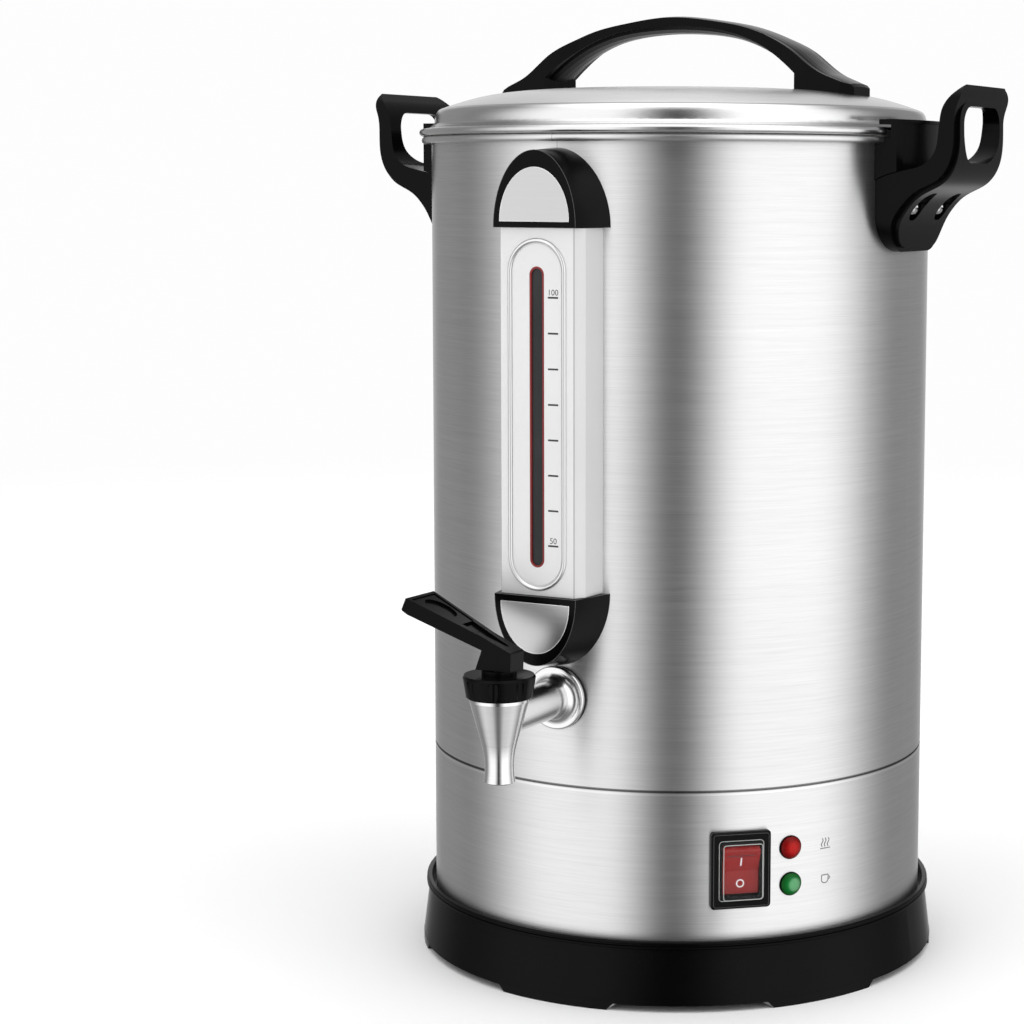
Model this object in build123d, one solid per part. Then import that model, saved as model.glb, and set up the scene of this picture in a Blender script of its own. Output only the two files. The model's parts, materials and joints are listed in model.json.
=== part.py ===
"""Coffee urn: a tall steel percolator urn with a twist-lock lid, sight gauge and lever tap.

Millimetres, +Z up.  The origin is on the floor at the urn's axis, the tap faces -Y and
the side handles stand at +X and -X.
"""
from build123d import *
import math
import os

# ------------------------------------------------------------------ driving dimensions
# drum and base
BODY_R = 140.0  # outside of the steel drum
SHEET = 0.8  # steel sheet
TANK_IN = BODY_R - SHEET
RIM_Z = 459.5  # top of the tank's rolled bead
SEAM_Z = 117.2  # joint between base housing and tank
FLOOR_Z = 142.0  # tank floor, inside the tank
WELL_R = 24.0
WELL_Z = 132.0
STEEL_FOOT_Z = 31.3  # lower edge of the base housing
PLATE_Z = (27.3, 28.5)  # bottom plate
FOOT_COUNT = 6
FOOT_HALF = 13.8  # degrees
PAD_R = 7.0
PAD_AT = 138.0
RIM_FOOT = (122.0, 126.0)  # inner rim that the ring stands on
LEDGE_R = 112.0
PLATE_SCREW_R = 117.0
VENT_COUNT = 12

# lid
BEAD_R = 2.0  # rolled beads of tank and lid
TANK_BEAD_AT = 143.5
LID_BEAD_AT = 144.8
LID_BEAD_Z = RIM_Z + 0.3 + BEAD_R
LID_TOP_Z = 486.7
LID_SHOULDER = (134.0, 475.2)
LID_SCREW_X = 92.0

# side handles and rim guards
HANDLE_HALF = 38.0  # half width of a side handle
RAISED_HALF = 33.0
FINGER_HALF = 27.2
FINGER_Z = (445.5, 475.1)
BOLT_ACROSS = 18.5
BOLT_Z = 422.4
POCKET = (13.0, 14.4)
GUARD_HALF = 39.0
NOTCH_HALF = GUARD_HALF + 0.3  # the beads are cut away at each rim guard
GUARD_R = 152.0
GUARD_TOP_Z = 468.2

# sight gauge
GAUGE_FACE_Y = -160.8
GAUGE_LOW, GAUGE_HIGH = 221.8, 411.3
GAUGE_TUBE_Y = -154.3
NIPPLE_Z = 204.0
SLOT_HALF = 3.9
SLOT_Z = (236.9, 391.4)
PLATE_HALF = 14.5  # scale plate inside the bezel
PLATE_SPAN = (227.0, 403.4)
BEZEL_HALF = 17.1
BEZEL_SPAN = (224.3, 406.2)
CAP_FACE_Y = -163.6
CAP_HALF = (30.8, 24.2)  # half width at the wall and at the front
# each cap: foot, rise at the wall, rise at the front, then foot and rise of its insert
TOP_CAP = (411.5, 41.2, 39.2, 3.1, 27.4)
LOW_CAP = (221.6, -41.0, -36.2, -3.5, -26.3)

# tap
TAP_R = 199.2  # tap axis from the urn's axis
TAP_PIPE_Z = 164.6
BONNET_Z = (175.5, 187.2)
SPOUT_Z = 131.5
SPOUT_R = 5.6
STEM_R = 3.5
LEVER_PIN_Z = 195.0
LEVER_PIN_HALF = 5.2
LEVER_NECK_HALF = 6.45
LEVER_HALF = 12.8
LEVER_TOP = (199.7, 224.4)  # height of the arm's top at its heel and at its tip
LEVER_REACH = (-10.7, 47.6)

# switch, lamps and inlet
SWITCH_ANGLE, SWITCH_Z = 40.7, 75.0
SWITCH_BODY = (24.0, 31.0)
SWITCH_FRAME = (32.6, 41.5)
ROCKER_PIVOT = -4.0  # below the drum's surface
ROCKER_TILT = 10.0
ROCKER_REACH = 13.8
RED_LAMP = (52.4, 84.4)
GREEN_LAMP = (52.5, 64.5)
LAMP_BODY_R = 4.4
INLET_Z = 72.0
INLET_BODY = (27.2, 20.0)
INLET_SCREWS = 20.0
INLET_PINS = [(-7.0, -2.0), (0.0, 2.0), (7.0, -2.0)]

# percolator
BASKET_R = 131.0
BASKET_Z = (377.0, 451.0)
PUMP_R = 4.25
PUMP_Z = (140.0, 438.0)

FIT = 0.08  # running clearance of a shaft in its hole, on the radius
UP = (Align.CENTER, Align.CENTER, Align.MIN)


# ------------------------------------------------------------------ shape helpers
def disc(radius, low, high, x=0.0, y=0.0):
    """Upright cylinder between two heights."""
    return Pos(x, y, low) * Cylinder(radius, high - low, align=UP)


def ring(outer, inner, low, high, x=0.0, y=0.0):
    """Upright cylinder with a round hole through it."""
    return disc(outer, low, high, x, y) - disc(inner, low - 1, high + 1, x, y)


def block(x, y, z):
    """Box from three (low, high) pairs."""
    size = [b - a for a, b in (x, y, z)]
    middle = [(a + b) / 2 for a, b in (x, y, z)]
    return Pos(*middle) * Box(*size)


def face(*steps):
    """Closed face: a point is a straight run, a pair of points is an arc through the first."""
    edges, here = [], steps[0]
    for step in steps[1:] + (steps[0],):
        if isinstance(step[0], tuple):
            edges.append(ThreePointArc(here, step[0], step[1]))
            here = step[1]
        elif math.dist(here, step) > 1e-6:
            edges.append(Line(here, step))
            here = step
    return make_face(Curve() + edges)


def spin(*steps):
    """Solid of revolution about Z from an outline in (radius, height)."""
    return revolve(Plane.XZ * face(*steps), Axis.Z)


def prism(sketch, plane, low, high):
    """Sketch on a plane, extruded between two distances along the plane's normal."""
    return extrude(plane.offset(low) * sketch, high - low, dir=plane.z_dir)


def sector(middle, half, low, high, reach=220.0):
    """Wedge about Z: middle and half angle in degrees, counted from +X."""
    turns = [math.radians(middle + k * half / 2) for k in (-2, -1, 0, 1, 2)]
    points = [(0.0, 0.0)] + [(reach * math.cos(t), reach * math.sin(t)) for t in turns]
    return prism(Polygon(*points, align=None), Plane.XY, low, high)


def wall_plane(angle, height, radius=BODY_R):
    """Plane on the drum: x across to the right, y up, z outwards.  Angle 0 is the front."""
    a = math.radians(angle)
    out = (math.sin(a), -math.cos(a), 0)
    return Plane(
        origin=(radius * out[0], radius * out[1], height),
        x_dir=(math.cos(a), math.sin(a), 0),
        z_dir=out,
    )


def rounded(half, low, high, low_r, high_r):
    """Upright rectangle about x = 0 whose lower and upper corners have their own radii."""
    low_in, high_in = low_r * (1 - math.sqrt(0.5)), high_r * (1 - math.sqrt(0.5))
    return face(
        (-half, high - high_r), (-half, low + low_r),
        ((-half + low_in, low + low_in), (-half + low_r, low)), (half - low_r, low),
        ((half - low_in, low + low_in), (half, low + low_r)), (half, high - high_r),
        ((half - high_in, high - high_in), (half - high_r, high)), (-half + high_r, high),
        ((-half + high_in, high - high_in), (-half, high - high_r)),
    )


def coil(x, y, low, high, radius, wire, turns):
    """Compression spring standing on the plane z = low + wire."""
    rise = high - low - 2 * wire
    path = Pos(x, y, low + wire) * Helix(rise / turns, rise, radius)
    start = Plane(origin=path @ 0, z_dir=path % 0)
    return sweep(start * Circle(wire), path=path, is_frenet=True)


DRUM = disc(BODY_R + 0.02, -10, 600)
FRONT = Plane.XZ
TAP = Plane(origin=(0, -TAP_R, 0), x_dir=(-1, 0, 0), z_dir=(0, 1, 0))
SHANK_AXIS = Plane(origin=(0, 0, TAP_PIPE_Z), x_dir=(1, 0, 0), z_dir=(0, -1, 0))
parts = {}


# ------------------------------------------------------------------ drum and base
def guard_notches(low, high, inner):
    """The two places at +X and -X where the beads are cut for the rim guards."""
    across = block((-170, 170), (-NOTCH_HALF, NOTCH_HALF), (low, high))
    return across - disc(inner, low - 1, high + 1)


def tank_shell():
    wall = ring(BODY_R, TANK_IN, SEAM_Z + 0.4, RIM_Z - 0.9)
    web = ring(TANK_BEAD_AT, TANK_IN, RIM_Z - 1.6, RIM_Z - 0.8)
    bead = Pos(0, 0, RIM_Z - BEAD_R) * Torus(TANK_BEAD_AT, BEAD_R)
    shell = wall + web + bead - guard_notches(RIM_Z - 6, RIM_Z + 2, BODY_R)
    shank_hole = prism(Circle(8.1), SHANK_AXIS, 120, 150)
    nipple_hole = prism(Pos(0, NIPPLE_Z) * Circle(4.1), FRONT, 120, 150)
    return shell - shank_hole - nipple_hole


def tank_floor():
    deck = ring(TANK_IN, WELL_R, FLOOR_Z - SHEET, FLOOR_Z)
    skirt = ring(TANK_IN, TANK_IN - SHEET, FLOOR_Z - 12, FLOOR_Z)
    well = disc(WELL_R + SHEET, WELL_Z - SHEET, FLOOR_Z) - disc(WELL_R, WELL_Z, FLOOR_Z + 1)
    return deck + skirt + well


def base_housing():
    wall = ring(BODY_R, TANK_IN, STEEL_FOOT_Z, SEAM_Z - 0.4)
    step = ring(BODY_R - 0.1, TANK_IN - SHEET, SEAM_Z - 10, SEAM_Z - 8)
    sleeve = ring(TANK_IN - 0.05, TANK_IN - SHEET, SEAM_Z - 10, SEAM_Z + 8)
    housing = wall + step + sleeve
    housing -= prism(Rectangle(*SWITCH_BODY), wall_plane(SWITCH_ANGLE, SWITCH_Z), -15, 15)
    for angle, height in (RED_LAMP, GREEN_LAMP):
        housing -= prism(Circle(LAMP_BODY_R), wall_plane(angle, height), -15, 15)
    housing -= prism(Rectangle(*INLET_BODY), wall_plane(180, INLET_Z), -15, 15)
    for side in (-1, 1):
        housing -= prism(Pos(side * INLET_SCREWS, 0) * Circle(1.6), wall_plane(180, INLET_Z), -15, 15)
    return housing


def foot_angles():
    """Angles of the six foot tabs from +X; one of them is under the tap."""
    return [-90 + k * 360 / FOOT_COUNT for k in range(FOOT_COUNT)]


def pad_places():
    spots = [math.radians(angle) for angle in foot_angles()]
    return [(PAD_AT * math.cos(spot), PAD_AT * math.sin(spot)) for spot in spots]


def base_toe(angle):
    """Foot tab whose two ends slope at 45 degrees."""
    half = 147.0 * math.sin(math.radians(FOOT_HALF))
    outline = [(-half, 3.7), (-half + 3.6, 0), (half - 3.6, 0), (half, 3.7), (half, 5), (-half, 5)]
    straight = prism(Polygon(*outline, align=None), wall_plane(angle + 90, 0, 0), 110, 150)
    return straight & ring(147.25, 129, 0, 5)


def base_ring():
    ledge = PLATE_Z[1]
    base = spin(
        (RIM_FOOT[0], 0), (RIM_FOOT[1], 0), (RIM_FOOT[1], ledge - 3), (141.0, ledge - 3),
        (144.3, 3.7), (147.3, 3.7), (143.7, 33.0), (145.4, 33.9), (145.5, 34.8),
        (144.7, 35.3), (144.7, 35.9), (145.3, 36.3), ((145.1, 37.3), (144.4, 37.7)),
        (142.6, 37.7), (142.4, 37.5), (142.4, STEEL_FOOT_Z), (LEDGE_R, STEEL_FOOT_Z),
        (LEDGE_R, ledge), (RIM_FOOT[0], ledge),
    )
    for angle in foot_angles():
        base += base_toe(angle)
        for side in (-1, 1):
            rib = ring(142.4, 125, 3.7, 27) & sector(angle + side * (FOOT_HALF - 1.2), 0.6, 3, 30)
            base += rib
    for x, y in pad_places():
        base -= disc(PAD_R + 0.1, -1, 1.6, x, y)
    for x, y in plate_screw_places():
        base -= disc(1.7, ledge - 6, ledge + 9, x, y)
    return base


def foot_pads():
    return [disc(PAD_R, 0, 1.6, x, y) for x, y in pad_places()]


def plate_screw_places():
    spots = [math.radians(a + 30) for a in foot_angles()]
    return [(PLATE_SCREW_R * math.cos(t), PLATE_SCREW_R * math.sin(t)) for t in spots]


def bottom_plate():
    low, high = PLATE_Z
    plate = disc(RIM_FOOT[0] - 0.2, low, high)
    for x, y in plate_screw_places():
        plate -= disc(1.7, low - 1, high + 1, x, y)
    slot = prism(Pos(70, 0) * SlotOverall(34, 4), Plane.XY, low - 1, high + 1)
    for k in range(VENT_COUNT):
        plate -= Rot(0, 0, k * 360 / VENT_COUNT) * slot
    return plate


def bottom_screws():
    seat = PLATE_Z[0]
    spots = plate_screw_places()
    return [disc(3.2, seat - 1.9, seat, x, y) + disc(1.6, seat - 0.3, seat + 3.6, x, y) for x, y in spots]


# ------------------------------------------------------------------ lid
def lid_curve(drop=0.0):
    """Crown of the lid from its centre to its shoulder."""
    falls = [(0, 0), (60, 0.4), (90, 1.9), (112, 4.9)]
    points = [(r, LID_TOP_Z - fall - drop) for r, fall in falls]
    return Spline(points + [(LID_SHOULDER[0], LID_SHOULDER[1] - drop)], tangents=[(1, 0), (0.94, -0.34)])


def under_lid():
    """Everything below the lid's outer crown, out to its shoulder."""
    edge, low = LID_SHOULDER[0], 440
    sides = Polyline(LID_SHOULDER, (edge, low), (0, low), (0, LID_TOP_Z))
    return revolve(Plane.XZ * make_face(Curve() + [lid_curve(), sides]), Axis.Z)


def lid_shell():
    outer = lid_curve()
    inner = lid_curve(SHEET)
    wall_out = [(136.1, 474.1), (137.6, 471.7), (138.3, 468.6), (138.8, 466.3), (140.6, 464.8)]
    wall_out.append((144.4, 463.7))
    wall_in = [(143.4, 462.9), (139.9, 464.0), (138.0, 465.9), (137.5, 468.6), (136.9, 471.2)]
    wall_in.append((135.6, 473.2))
    edges = [
        outer, Spline([outer @ 1] + wall_out, tangents=[(0.94, -0.34), (0.98, -0.2)]),
        Line(wall_out[-1], wall_in[0]),
        Spline(wall_in + [inner @ 1], tangents=[(-0.98, 0.2), (-0.94, 0.34)]),
        inner, Line(outer @ 0, inner @ 0),
    ]
    crown = revolve(Plane.XZ * make_face(Curve() + edges), Axis.Z)
    bead = Pos(0, 0, LID_BEAD_Z) * Torus(LID_BEAD_AT, BEAD_R)
    lid = crown + bead - guard_notches(RIM_Z, RIM_Z + 6.5, 141.6)
    lid += ring(138.2, 137.4, RIM_Z - 6.5, 468.4)
    for x, y in lid_screw_places():
        lid -= disc(2.2, 475, 495, x, y)
    return lid


def lid_seal():
    return ring(141.3, 139.5, RIM_Z - 0.7, RIM_Z + 3.4)


def lid_screw_places():
    return [(-LID_SCREW_X, 0), (LID_SCREW_X, 0)]


def mirrored(points):
    """An outline given for positive x only, carried over to both sides from left to right."""
    return [(-x, z) for x, z in reversed(points) if x] + points


def handle_section(across, sag, rise):
    """Side outline of the lid's handle at a distance from its middle plane."""
    crest = [(0, 527.2), (28.3, 524.3), (46, 520.8), (62.9, 514.6), (75.6, 507.8), (84.6, 500.7)]
    crest.append((95, 494.1))
    under = [(0, 517.6), (16, 517.0), (33.8, 514.7), (50.8, 509.5), (66, 501.5), (78, 492.4)]
    crest = [(x, z - sag) for x, z in crest]
    under = [(x, z + rise * (1 - 0.6 * (x / 78) ** 2)) for x, z in under]
    foot = [crest[-1], (108.7, 488.6 - sag), (110.5, 486.8 - sag), (110.5, 470), (78, 470), under[-1]]
    edges = [Spline(mirrored(crest)), Polyline(*foot), Spline(mirrored(under))]
    edges.append(Polyline(*[(-x, z) for x, z in foot]))
    return FRONT.offset(across) * make_face(Curve() + edges)


def lid_handle():
    """Arch with a flat band along each side and a rounded belly, on two feet."""
    steps = [(0, 0, 0), (6, 0.1, 0.5), (11, 0.5, 1.9), (14, 1.0, 3.7), (20, 1.2, 4.2)]
    half = loft([handle_section(*step) for step in steps], ruled=True)
    arch = half + mirror(half, Plane.XZ)
    plan = [(0, 14.0), (58, 14.6), (70, 17.3), (76, 18.0), (84, 18.0), (104, 15.5), (110.6, 11.0)]
    outline = mirrored(plan) + [(x, -y) for x, y in reversed(mirrored(plan))]
    handle = arch & prism(Polygon(*outline, align=None), Plane.XY, 465, 535)
    handle -= under_lid()
    for x, y in lid_screw_places():
        handle -= disc(1.9, 475, 492.5, x, y)
    return handle


def lid_handle_screws():
    low = LID_TOP_Z - 2.1 - SHEET
    return [disc(4.2, low - 2.6, low - 0.4, x, y) + disc(1.8, low - 1, 491, x, y)
            for x, y in lid_screw_places()]


# ------------------------------------------------------------------ side handles and guards
HANDLE_BACK = [
    (134.3, 435.9), (146.6, 440.5), (154.2, 442.2), (160.7, 444.1), (165.1, 447.4),
    (168.2, 452.6), (169.4, 459.8), (170.2, 467.5), (171.0, 472.1), (172.9, 476.4), (177.0, 481.6),
]


def side_band():
    """Side outline of the handle at +X: an S-shaped band from the drum up to the grip."""
    skin = [
        (181.2, 484.9), (181.1, 479.6), (179.0, 473.0), (178.0, 459.4), (177.3, 450.6),
        (173.8, 441.5), (169.0, 436.3), (162.7, 433.2), (155.6, 429.2), (150.5, 424.2),
        (145.2, 416.8), (142.9, 409.6), (142.5, 404.0), (142.4, 398.4),
    ]
    tip = Polyline(HANDLE_BACK[-1], (181.6, 486.0), skin[0])
    root = Polyline(skin[-1], (130.0, 398.4), (130.0, 434.6), HANDLE_BACK[0])
    return make_face(Curve() + [Spline(skin), root, Spline(HANDLE_BACK), tip])


def raised_band():
    """Side outline of the raised layer on the outside of the band."""
    skin = [
        (180.4, 477.2), (180.0, 460.5), (179.4, 450.2), (176.2, 440.6), (170.6, 434.4), (163.9, 430.9),
        (157.4, 427.2), (152.4, 422.2), (147.8, 415.3), (145.4, 408.0), (144.8, 400.6),
    ]
    under = [
        (141.0, 400.6), (141.4, 409.5), (144.5, 418.5), (150.0, 426.5), (157.0, 432.5),
        (164.5, 437.0), (170.0, 442.5), (173.0, 450.5), (173.8, 460.5), (176.0, 477.2),
    ]
    edges = [Spline(skin), Line(skin[-1], under[0]), Spline(under), Line(under[-1], skin[0])]
    return make_face(Curve() + edges)


def handle_solid():
    seen = Plane(origin=(0, 0, 0), x_dir=(0, 1, 0), z_dir=(1, 0, 0))
    band = prism(side_band(), FRONT, -HANDLE_HALF, HANDLE_HALF)
    band &= prism(rounded(HANDLE_HALF, 398.4, 486.5, 20, 12), seen, 100, 200)
    layer = prism(raised_band(), FRONT, -RAISED_HALF, RAISED_HALF)
    layer &= prism(rounded(RAISED_HALF, 400.6, 477.2, 16, 10), seen, 100, 200)
    solid = band + layer - prism(rounded(FINGER_HALF, *FINGER_Z, 17, 10), seen, 158, 200)
    for side in (-1, 1):
        spot = Pos(side * BOLT_ACROSS, BOLT_Z)
        solid -= prism(spot * RectangleRounded(*POCKET, 5), seen, 143.0, 200)
        solid -= prism(spot * Circle(2.1), seen, 130, 150)
    return solid - DRUM


def handle_bolts():
    """Two pan-head bolts and their washers at +X."""
    pieces = []
    wall = math.sqrt(BODY_R**2 - (BOLT_ACROSS - 2.1) ** 2)
    for side in (-1, 1):
        seat = Plane(origin=(0, side * BOLT_ACROSS, BOLT_Z), x_dir=(0, 1, 0), z_dir=(1, 0, 0))
        washer = prism(Circle(4.6), seat, 143.0, 144.0)
        shank = prism(Circle(2.0), seat, wall + 0.1, 145.0)
        head = Plane(origin=seat.origin + seat.z_dir * 144.0, z_dir=seat.z_dir) * spin(
            (0, 0), (3.9, 0), (3.9, 1.2), ((3.2, 2.5), (1.6, 3.0)), (0, 3.0),
        )
        pieces.append(washer + shank + head)
    return pieces


def rim_guard():
    """Curved block at +X whose lip reaches over the lid's bead."""
    body = ring(GUARD_R, BODY_R + 0.02, 430.0, GUARD_TOP_Z)
    body &= block((100, 170), (-GUARD_HALF, GUARD_HALF), (430, 480))
    body -= ring(148.8, 130, RIM_Z - 1.2, GUARD_TOP_Z - 2.7)
    body -= disc(142.3, GUARD_TOP_Z - 3.2, 480)
    recess = ring(170, GUARD_R - 2.0, 425, GUARD_TOP_Z - 1.7)
    body -= recess & block((100, 170), (-33.5, 33.5), (420, 480))
    return body - handle_cut()


def handle_cut():
    """Space that the side handle's shoulder takes under the guard."""
    top = Spline([(x, z + 0.4) for x, z in HANDLE_BACK])
    sides = Polyline(top @ 1, (190, 420), (120, 420), (120, 430), top @ 0)
    return prism(make_face(Curve() + [top, sides]), FRONT, -60, 60)


# ------------------------------------------------------------------ sight gauge
def stadium(half_width, low, high):
    return Pos(0, (low + high) / 2) * SlotOverall(high - low, 2 * half_width, rotation=90)


def channel_outline(inset=0.0):
    """Cross-section of the channel, open towards the drum."""
    half = [(26.3, -130), (25.0, -154.5), (21.65, GAUGE_FACE_Y)]
    if inset:
        half = [(26.3 - inset, -120), (25.0 - inset, -153.9), (20.7, GAUGE_FACE_Y + inset)]
    return Polygon(*half, *[(-x, y) for x, y in reversed(half)], align=None)


def gauge_channel():
    channel = prism(channel_outline(), Plane.XY, GAUGE_LOW, GAUGE_HIGH)
    channel -= prism(channel_outline(1.55), Plane.XY, GAUGE_LOW - 1, GAUGE_HIGH + 1)
    channel -= DRUM
    channel -= prism(stadium(SLOT_HALF, *SLOT_Z), FRONT, 150, 170)
    return channel - prism(stadium(PLATE_HALF + 0.1, *PLATE_SPAN), FRONT, -GAUGE_FACE_Y - 0.6, 170)


def gauge_bezel():
    trim = stadium(BEZEL_HALF, *BEZEL_SPAN) - stadium(PLATE_HALF + 0.1, *PLATE_SPAN)
    return prism(trim, FRONT, -GAUGE_FACE_Y, -GAUGE_FACE_Y + 1.3)


def gauge_scale_plate():
    low, high = PLATE_SPAN
    plate = stadium(PLATE_HALF, low + 0.1, high - 0.1) - stadium(SLOT_HALF, *SLOT_Z)
    return prism(plate, FRONT, -GAUGE_FACE_Y - 0.6, -GAUGE_FACE_Y + 0.1)


def gauge_tube():
    return ring(4.5, 3.2, NIPPLE_Z + 0.5, 436.5, 0, GAUGE_TUBE_Y)


def gauge_back_strip():
    back = GAUGE_TUBE_Y + 5.0
    return block((-9, 9), (back, back + 0.6), (GAUGE_LOW + 2, GAUGE_HIGH - 2))


def gauge_seals():
    return [ring(5.6, 4.5, low, low + 6, 0, GAUGE_TUBE_Y) for low in (213.0, 424.0)]


def gauge_nipple():
    """Elbow from the tank wall to the foot of the gauge tube."""
    cup = disc(5.6, 198.5, 213.0, 0, GAUGE_TUBE_Y)
    spigot = prism(Pos(0, NIPPLE_Z) * Circle(4.0), FRONT, 130, 151.5)
    collar = prism(Pos(0, NIPPLE_Z) * Circle(6.5), FRONT, 140.4, 149.5)
    nut = prism(Pos(0, NIPPLE_Z) * Circle(7.0), FRONT, 132.0, 138.4)
    bore = prism(Pos(0, NIPPLE_Z) * Circle(2.4), FRONT, 129, 154.5)
    seat = disc(4.5, 204.5, 214, 0, GAUGE_TUBE_Y) + disc(3.0, 201.0, 205, 0, GAUGE_TUBE_Y)
    return cup + spigot + collar + nut - bore - seat


def arch_face(half_width, foot, rise):
    """Half ellipse standing on the line z = foot; a negative rise hangs down from it."""
    tall = abs(rise)
    half = Pos(0, foot) * Ellipse(half_width, tall)
    return half & Pos(0, foot + rise / 2) * Rectangle(2.2 * half_width, tall)


def gauge_cap(foot, rise_wall, rise_front, insert_foot, insert_rise):
    """Black end cap: an arch that narrows towards its front face."""
    grow = 1 if rise_wall > 0 else -1
    front = -CAP_FACE_Y
    solid = loft([
        FRONT.offset(132) * arch_face(CAP_HALF[0], foot, rise_wall),
        FRONT.offset(front) * arch_face(CAP_HALF[1], foot, rise_front),
    ])
    hollow = loft([
        FRONT.offset(125) * arch_face(CAP_HALF[0] - 2.6, foot, rise_wall - 2.6 * grow),
        FRONT.offset(front - 3.4) * arch_face(CAP_HALF[1] - 1.8, foot, rise_front - 3.0 * grow),
    ])
    seat = arch_face(20.35, foot + insert_foot - 0.1 * grow, insert_rise + 0.2 * grow)
    low, high = sorted((foot, foot + 2.0 * grow))
    floor = solid & block((-40, 40), (-162, -130), (low, high))
    floor -= disc(5.7, low - 1, high + 1, 0, GAUGE_TUBE_Y)
    clear = prism(Circle(17.1), SHANK_AXIS, 130, 150)
    return (solid - hollow) + floor - prism(seat, FRONT, front - 1.2, 170) - DRUM - clear


def cap_insert(foot, rise_wall, rise_front, insert_foot, insert_rise):
    front = -CAP_FACE_Y
    return prism(arch_face(20.25, foot + insert_foot, insert_rise), FRONT, front - 1.2, front + 0.2)


# ------------------------------------------------------------------ tap
def tap_outline():
    """Outside of the cone body, radius and height about the tap axis."""
    low, top = SPOUT_Z, BONNET_Z[0]
    return [
        (0, low), (7.6, low), (8.1, low + 0.5), ((7.46, 139.5), (9.0, 151.1)),
        (15.1, 173.6), (15.1, top), (12.6, top), (12.6, BONNET_Z[1] - 5.3), (0, BONNET_Z[1] - 5.3),
    ]


def at_tap(solid):
    return Pos(0, -TAP_R, 0) * solid


def tap_body():
    cone = at_tap(spin(*tap_outline()))
    pipe = prism(Circle(10.0), SHANK_AXIS, 149.6, TAP_R)
    bore = prism(Circle(5.5), SHANK_AXIS, 150, TAP_R)
    socket = prism(Circle(8.0), SHANK_AXIS, 149, 168)
    chamber = at_tap(spin((0, 156.0), (7.2, 156.0), (10.6, 175.5), (10.6, 186), (0, 186)))
    outlet = at_tap(disc(4.6, 151, 161) + disc(SPOUT_R, SPOUT_Z - 5, SPOUT_Z + 19.6))
    return cone + pipe - bore - socket - chamber - outlet


def tap_flange():
    nut = spin(
        (8.05, 0), (16.9, 0), (16.9, 1.3), ((16.6, 2.0), (15.9, 2.3)), ((12.4, 2.9), (10.0, 6.2)),
        (10.0, 8.4), (8.05, 8.4),
    )
    return Plane(origin=(0, -141.2, TAP_PIPE_Z), z_dir=(0, -1, 0)) * nut


def tap_gaskets():
    """Rubber washers on the outside and the inside of the tank wall."""
    outer = prism(Circle(16.9) - Circle(8.05), SHANK_AXIS, 138, 141.2) - DRUM
    inner = prism(Circle(14.0) - Circle(8.05), SHANK_AXIS, 135.5, 140.5)
    return [outer.solid(), (inner & disc(TANK_IN - 0.02, 100, 200)).solid()]


def tap_locknut():
    flats = RegularPolygon(13.5, 6) - Circle(8.05)
    return prism(flats, SHANK_AXIS, 130.0, 135.5)


def tap_shank():
    return prism(Circle(8.0) - Circle(5.5), SHANK_AXIS, 126.0, 168.0)


def tap_bonnet():
    low, high = BONNET_Z
    shell = spin((0, low), (16.5, low), (17.0, low + 0.6), (18.6, high - 1.2), (17.8, high), (0, high))
    for k in range(8):
        turn = math.radians(22.5 + 45 * k)
        x, y = 19.9 * math.cos(turn), 19.9 * math.sin(turn)
        shell -= disc(3.1, low - 1, high - 1.8, x, y)
    shell -= disc(12.65, low - 1, high - 5.2)
    return at_tap(shell - disc(STEM_R + FIT, low, high + 5))


def tap_heel_washer():
    return at_tap(ring(9.0, STEM_R + FIT, BONNET_Z[1] + 0.05, BONNET_Z[1] + 2.4))


def stem_barb():
    return spin((0, 158.6), (2.0, 158.6), (3.2, 159.6), (2.0, 161.0), (0, 161.0))


def tap_stem():
    stem = disc(STEM_R, 164.5, LEVER_PIN_Z + 2.6) + disc(7.0, 169.0, 170.4) + disc(2.0, 158.6, 165)
    return at_tap(stem + stem_barb()) - lever_pin(1.5 + FIT)


def tap_seat_cup():
    cup = spin(
        (0, 156.3), (5.2, 156.3), (6.2, 157.6), (7.0, 162.5), (7.6, 169.0), (6.9, 169.0),
        (5.6, 164.5), (0, 164.5),
    )
    return at_tap(cup - disc(2.0, 158.6, 166) - stem_barb())


def tap_spring():
    return coil(0, -TAP_R, 170.5, BONNET_Z[1] - 5.4, 6.6, 0.7, 4)


def lever_pin(radius=1.5):
    """Pin through the stem; its ends are hidden in the lever."""
    axis = Plane(origin=(0, -TAP_R, LEVER_PIN_Z), x_dir=(1, 0, 0), z_dir=(0, 1, 0))
    return prism(Circle(radius), axis, -LEVER_PIN_HALF, LEVER_PIN_HALF)


def tap_lever():
    """Lever pointing to -X: a neck block over the stem and an inclined, widening arm."""
    foot = BONNET_Z[1] + 2.6
    heel, tip = LEVER_REACH
    side = face(
        (-10.4, foot), (heel, LEVER_TOP[0] - 0.6), (heel + 0.6, LEVER_TOP[0] + 0.2),
        (tip - 0.6, LEVER_TOP[1] - 0.2), (tip + 0.2, LEVER_TOP[1] - 0.4),
        (50.9, 218.0), (50.3, 217.2), (6.5, 199.8), (9.9, foot),
    )
    body = prism(side, TAP, -LEVER_HALF, LEVER_HALF)
    plan = [(-12, LEVER_NECK_HALF), (7, LEVER_NECK_HALF), (46.6, LEVER_HALF), (52.2, 11.2)]
    outline = [(-u, v - TAP_R) for u, v in plan] + [(-u, -v - TAP_R) for u, v in reversed(plan)]
    body &= prism(Polygon(*outline, align=None), Plane.XY, 185, 240)
    slot = block((-6.8, 6.8), (-3.75 - TAP_R, 3.75 - TAP_R), (185, LEVER_PIN_Z + 4.2))
    return body - slot - lever_pin(1.5) - thumb_recess()


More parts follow.
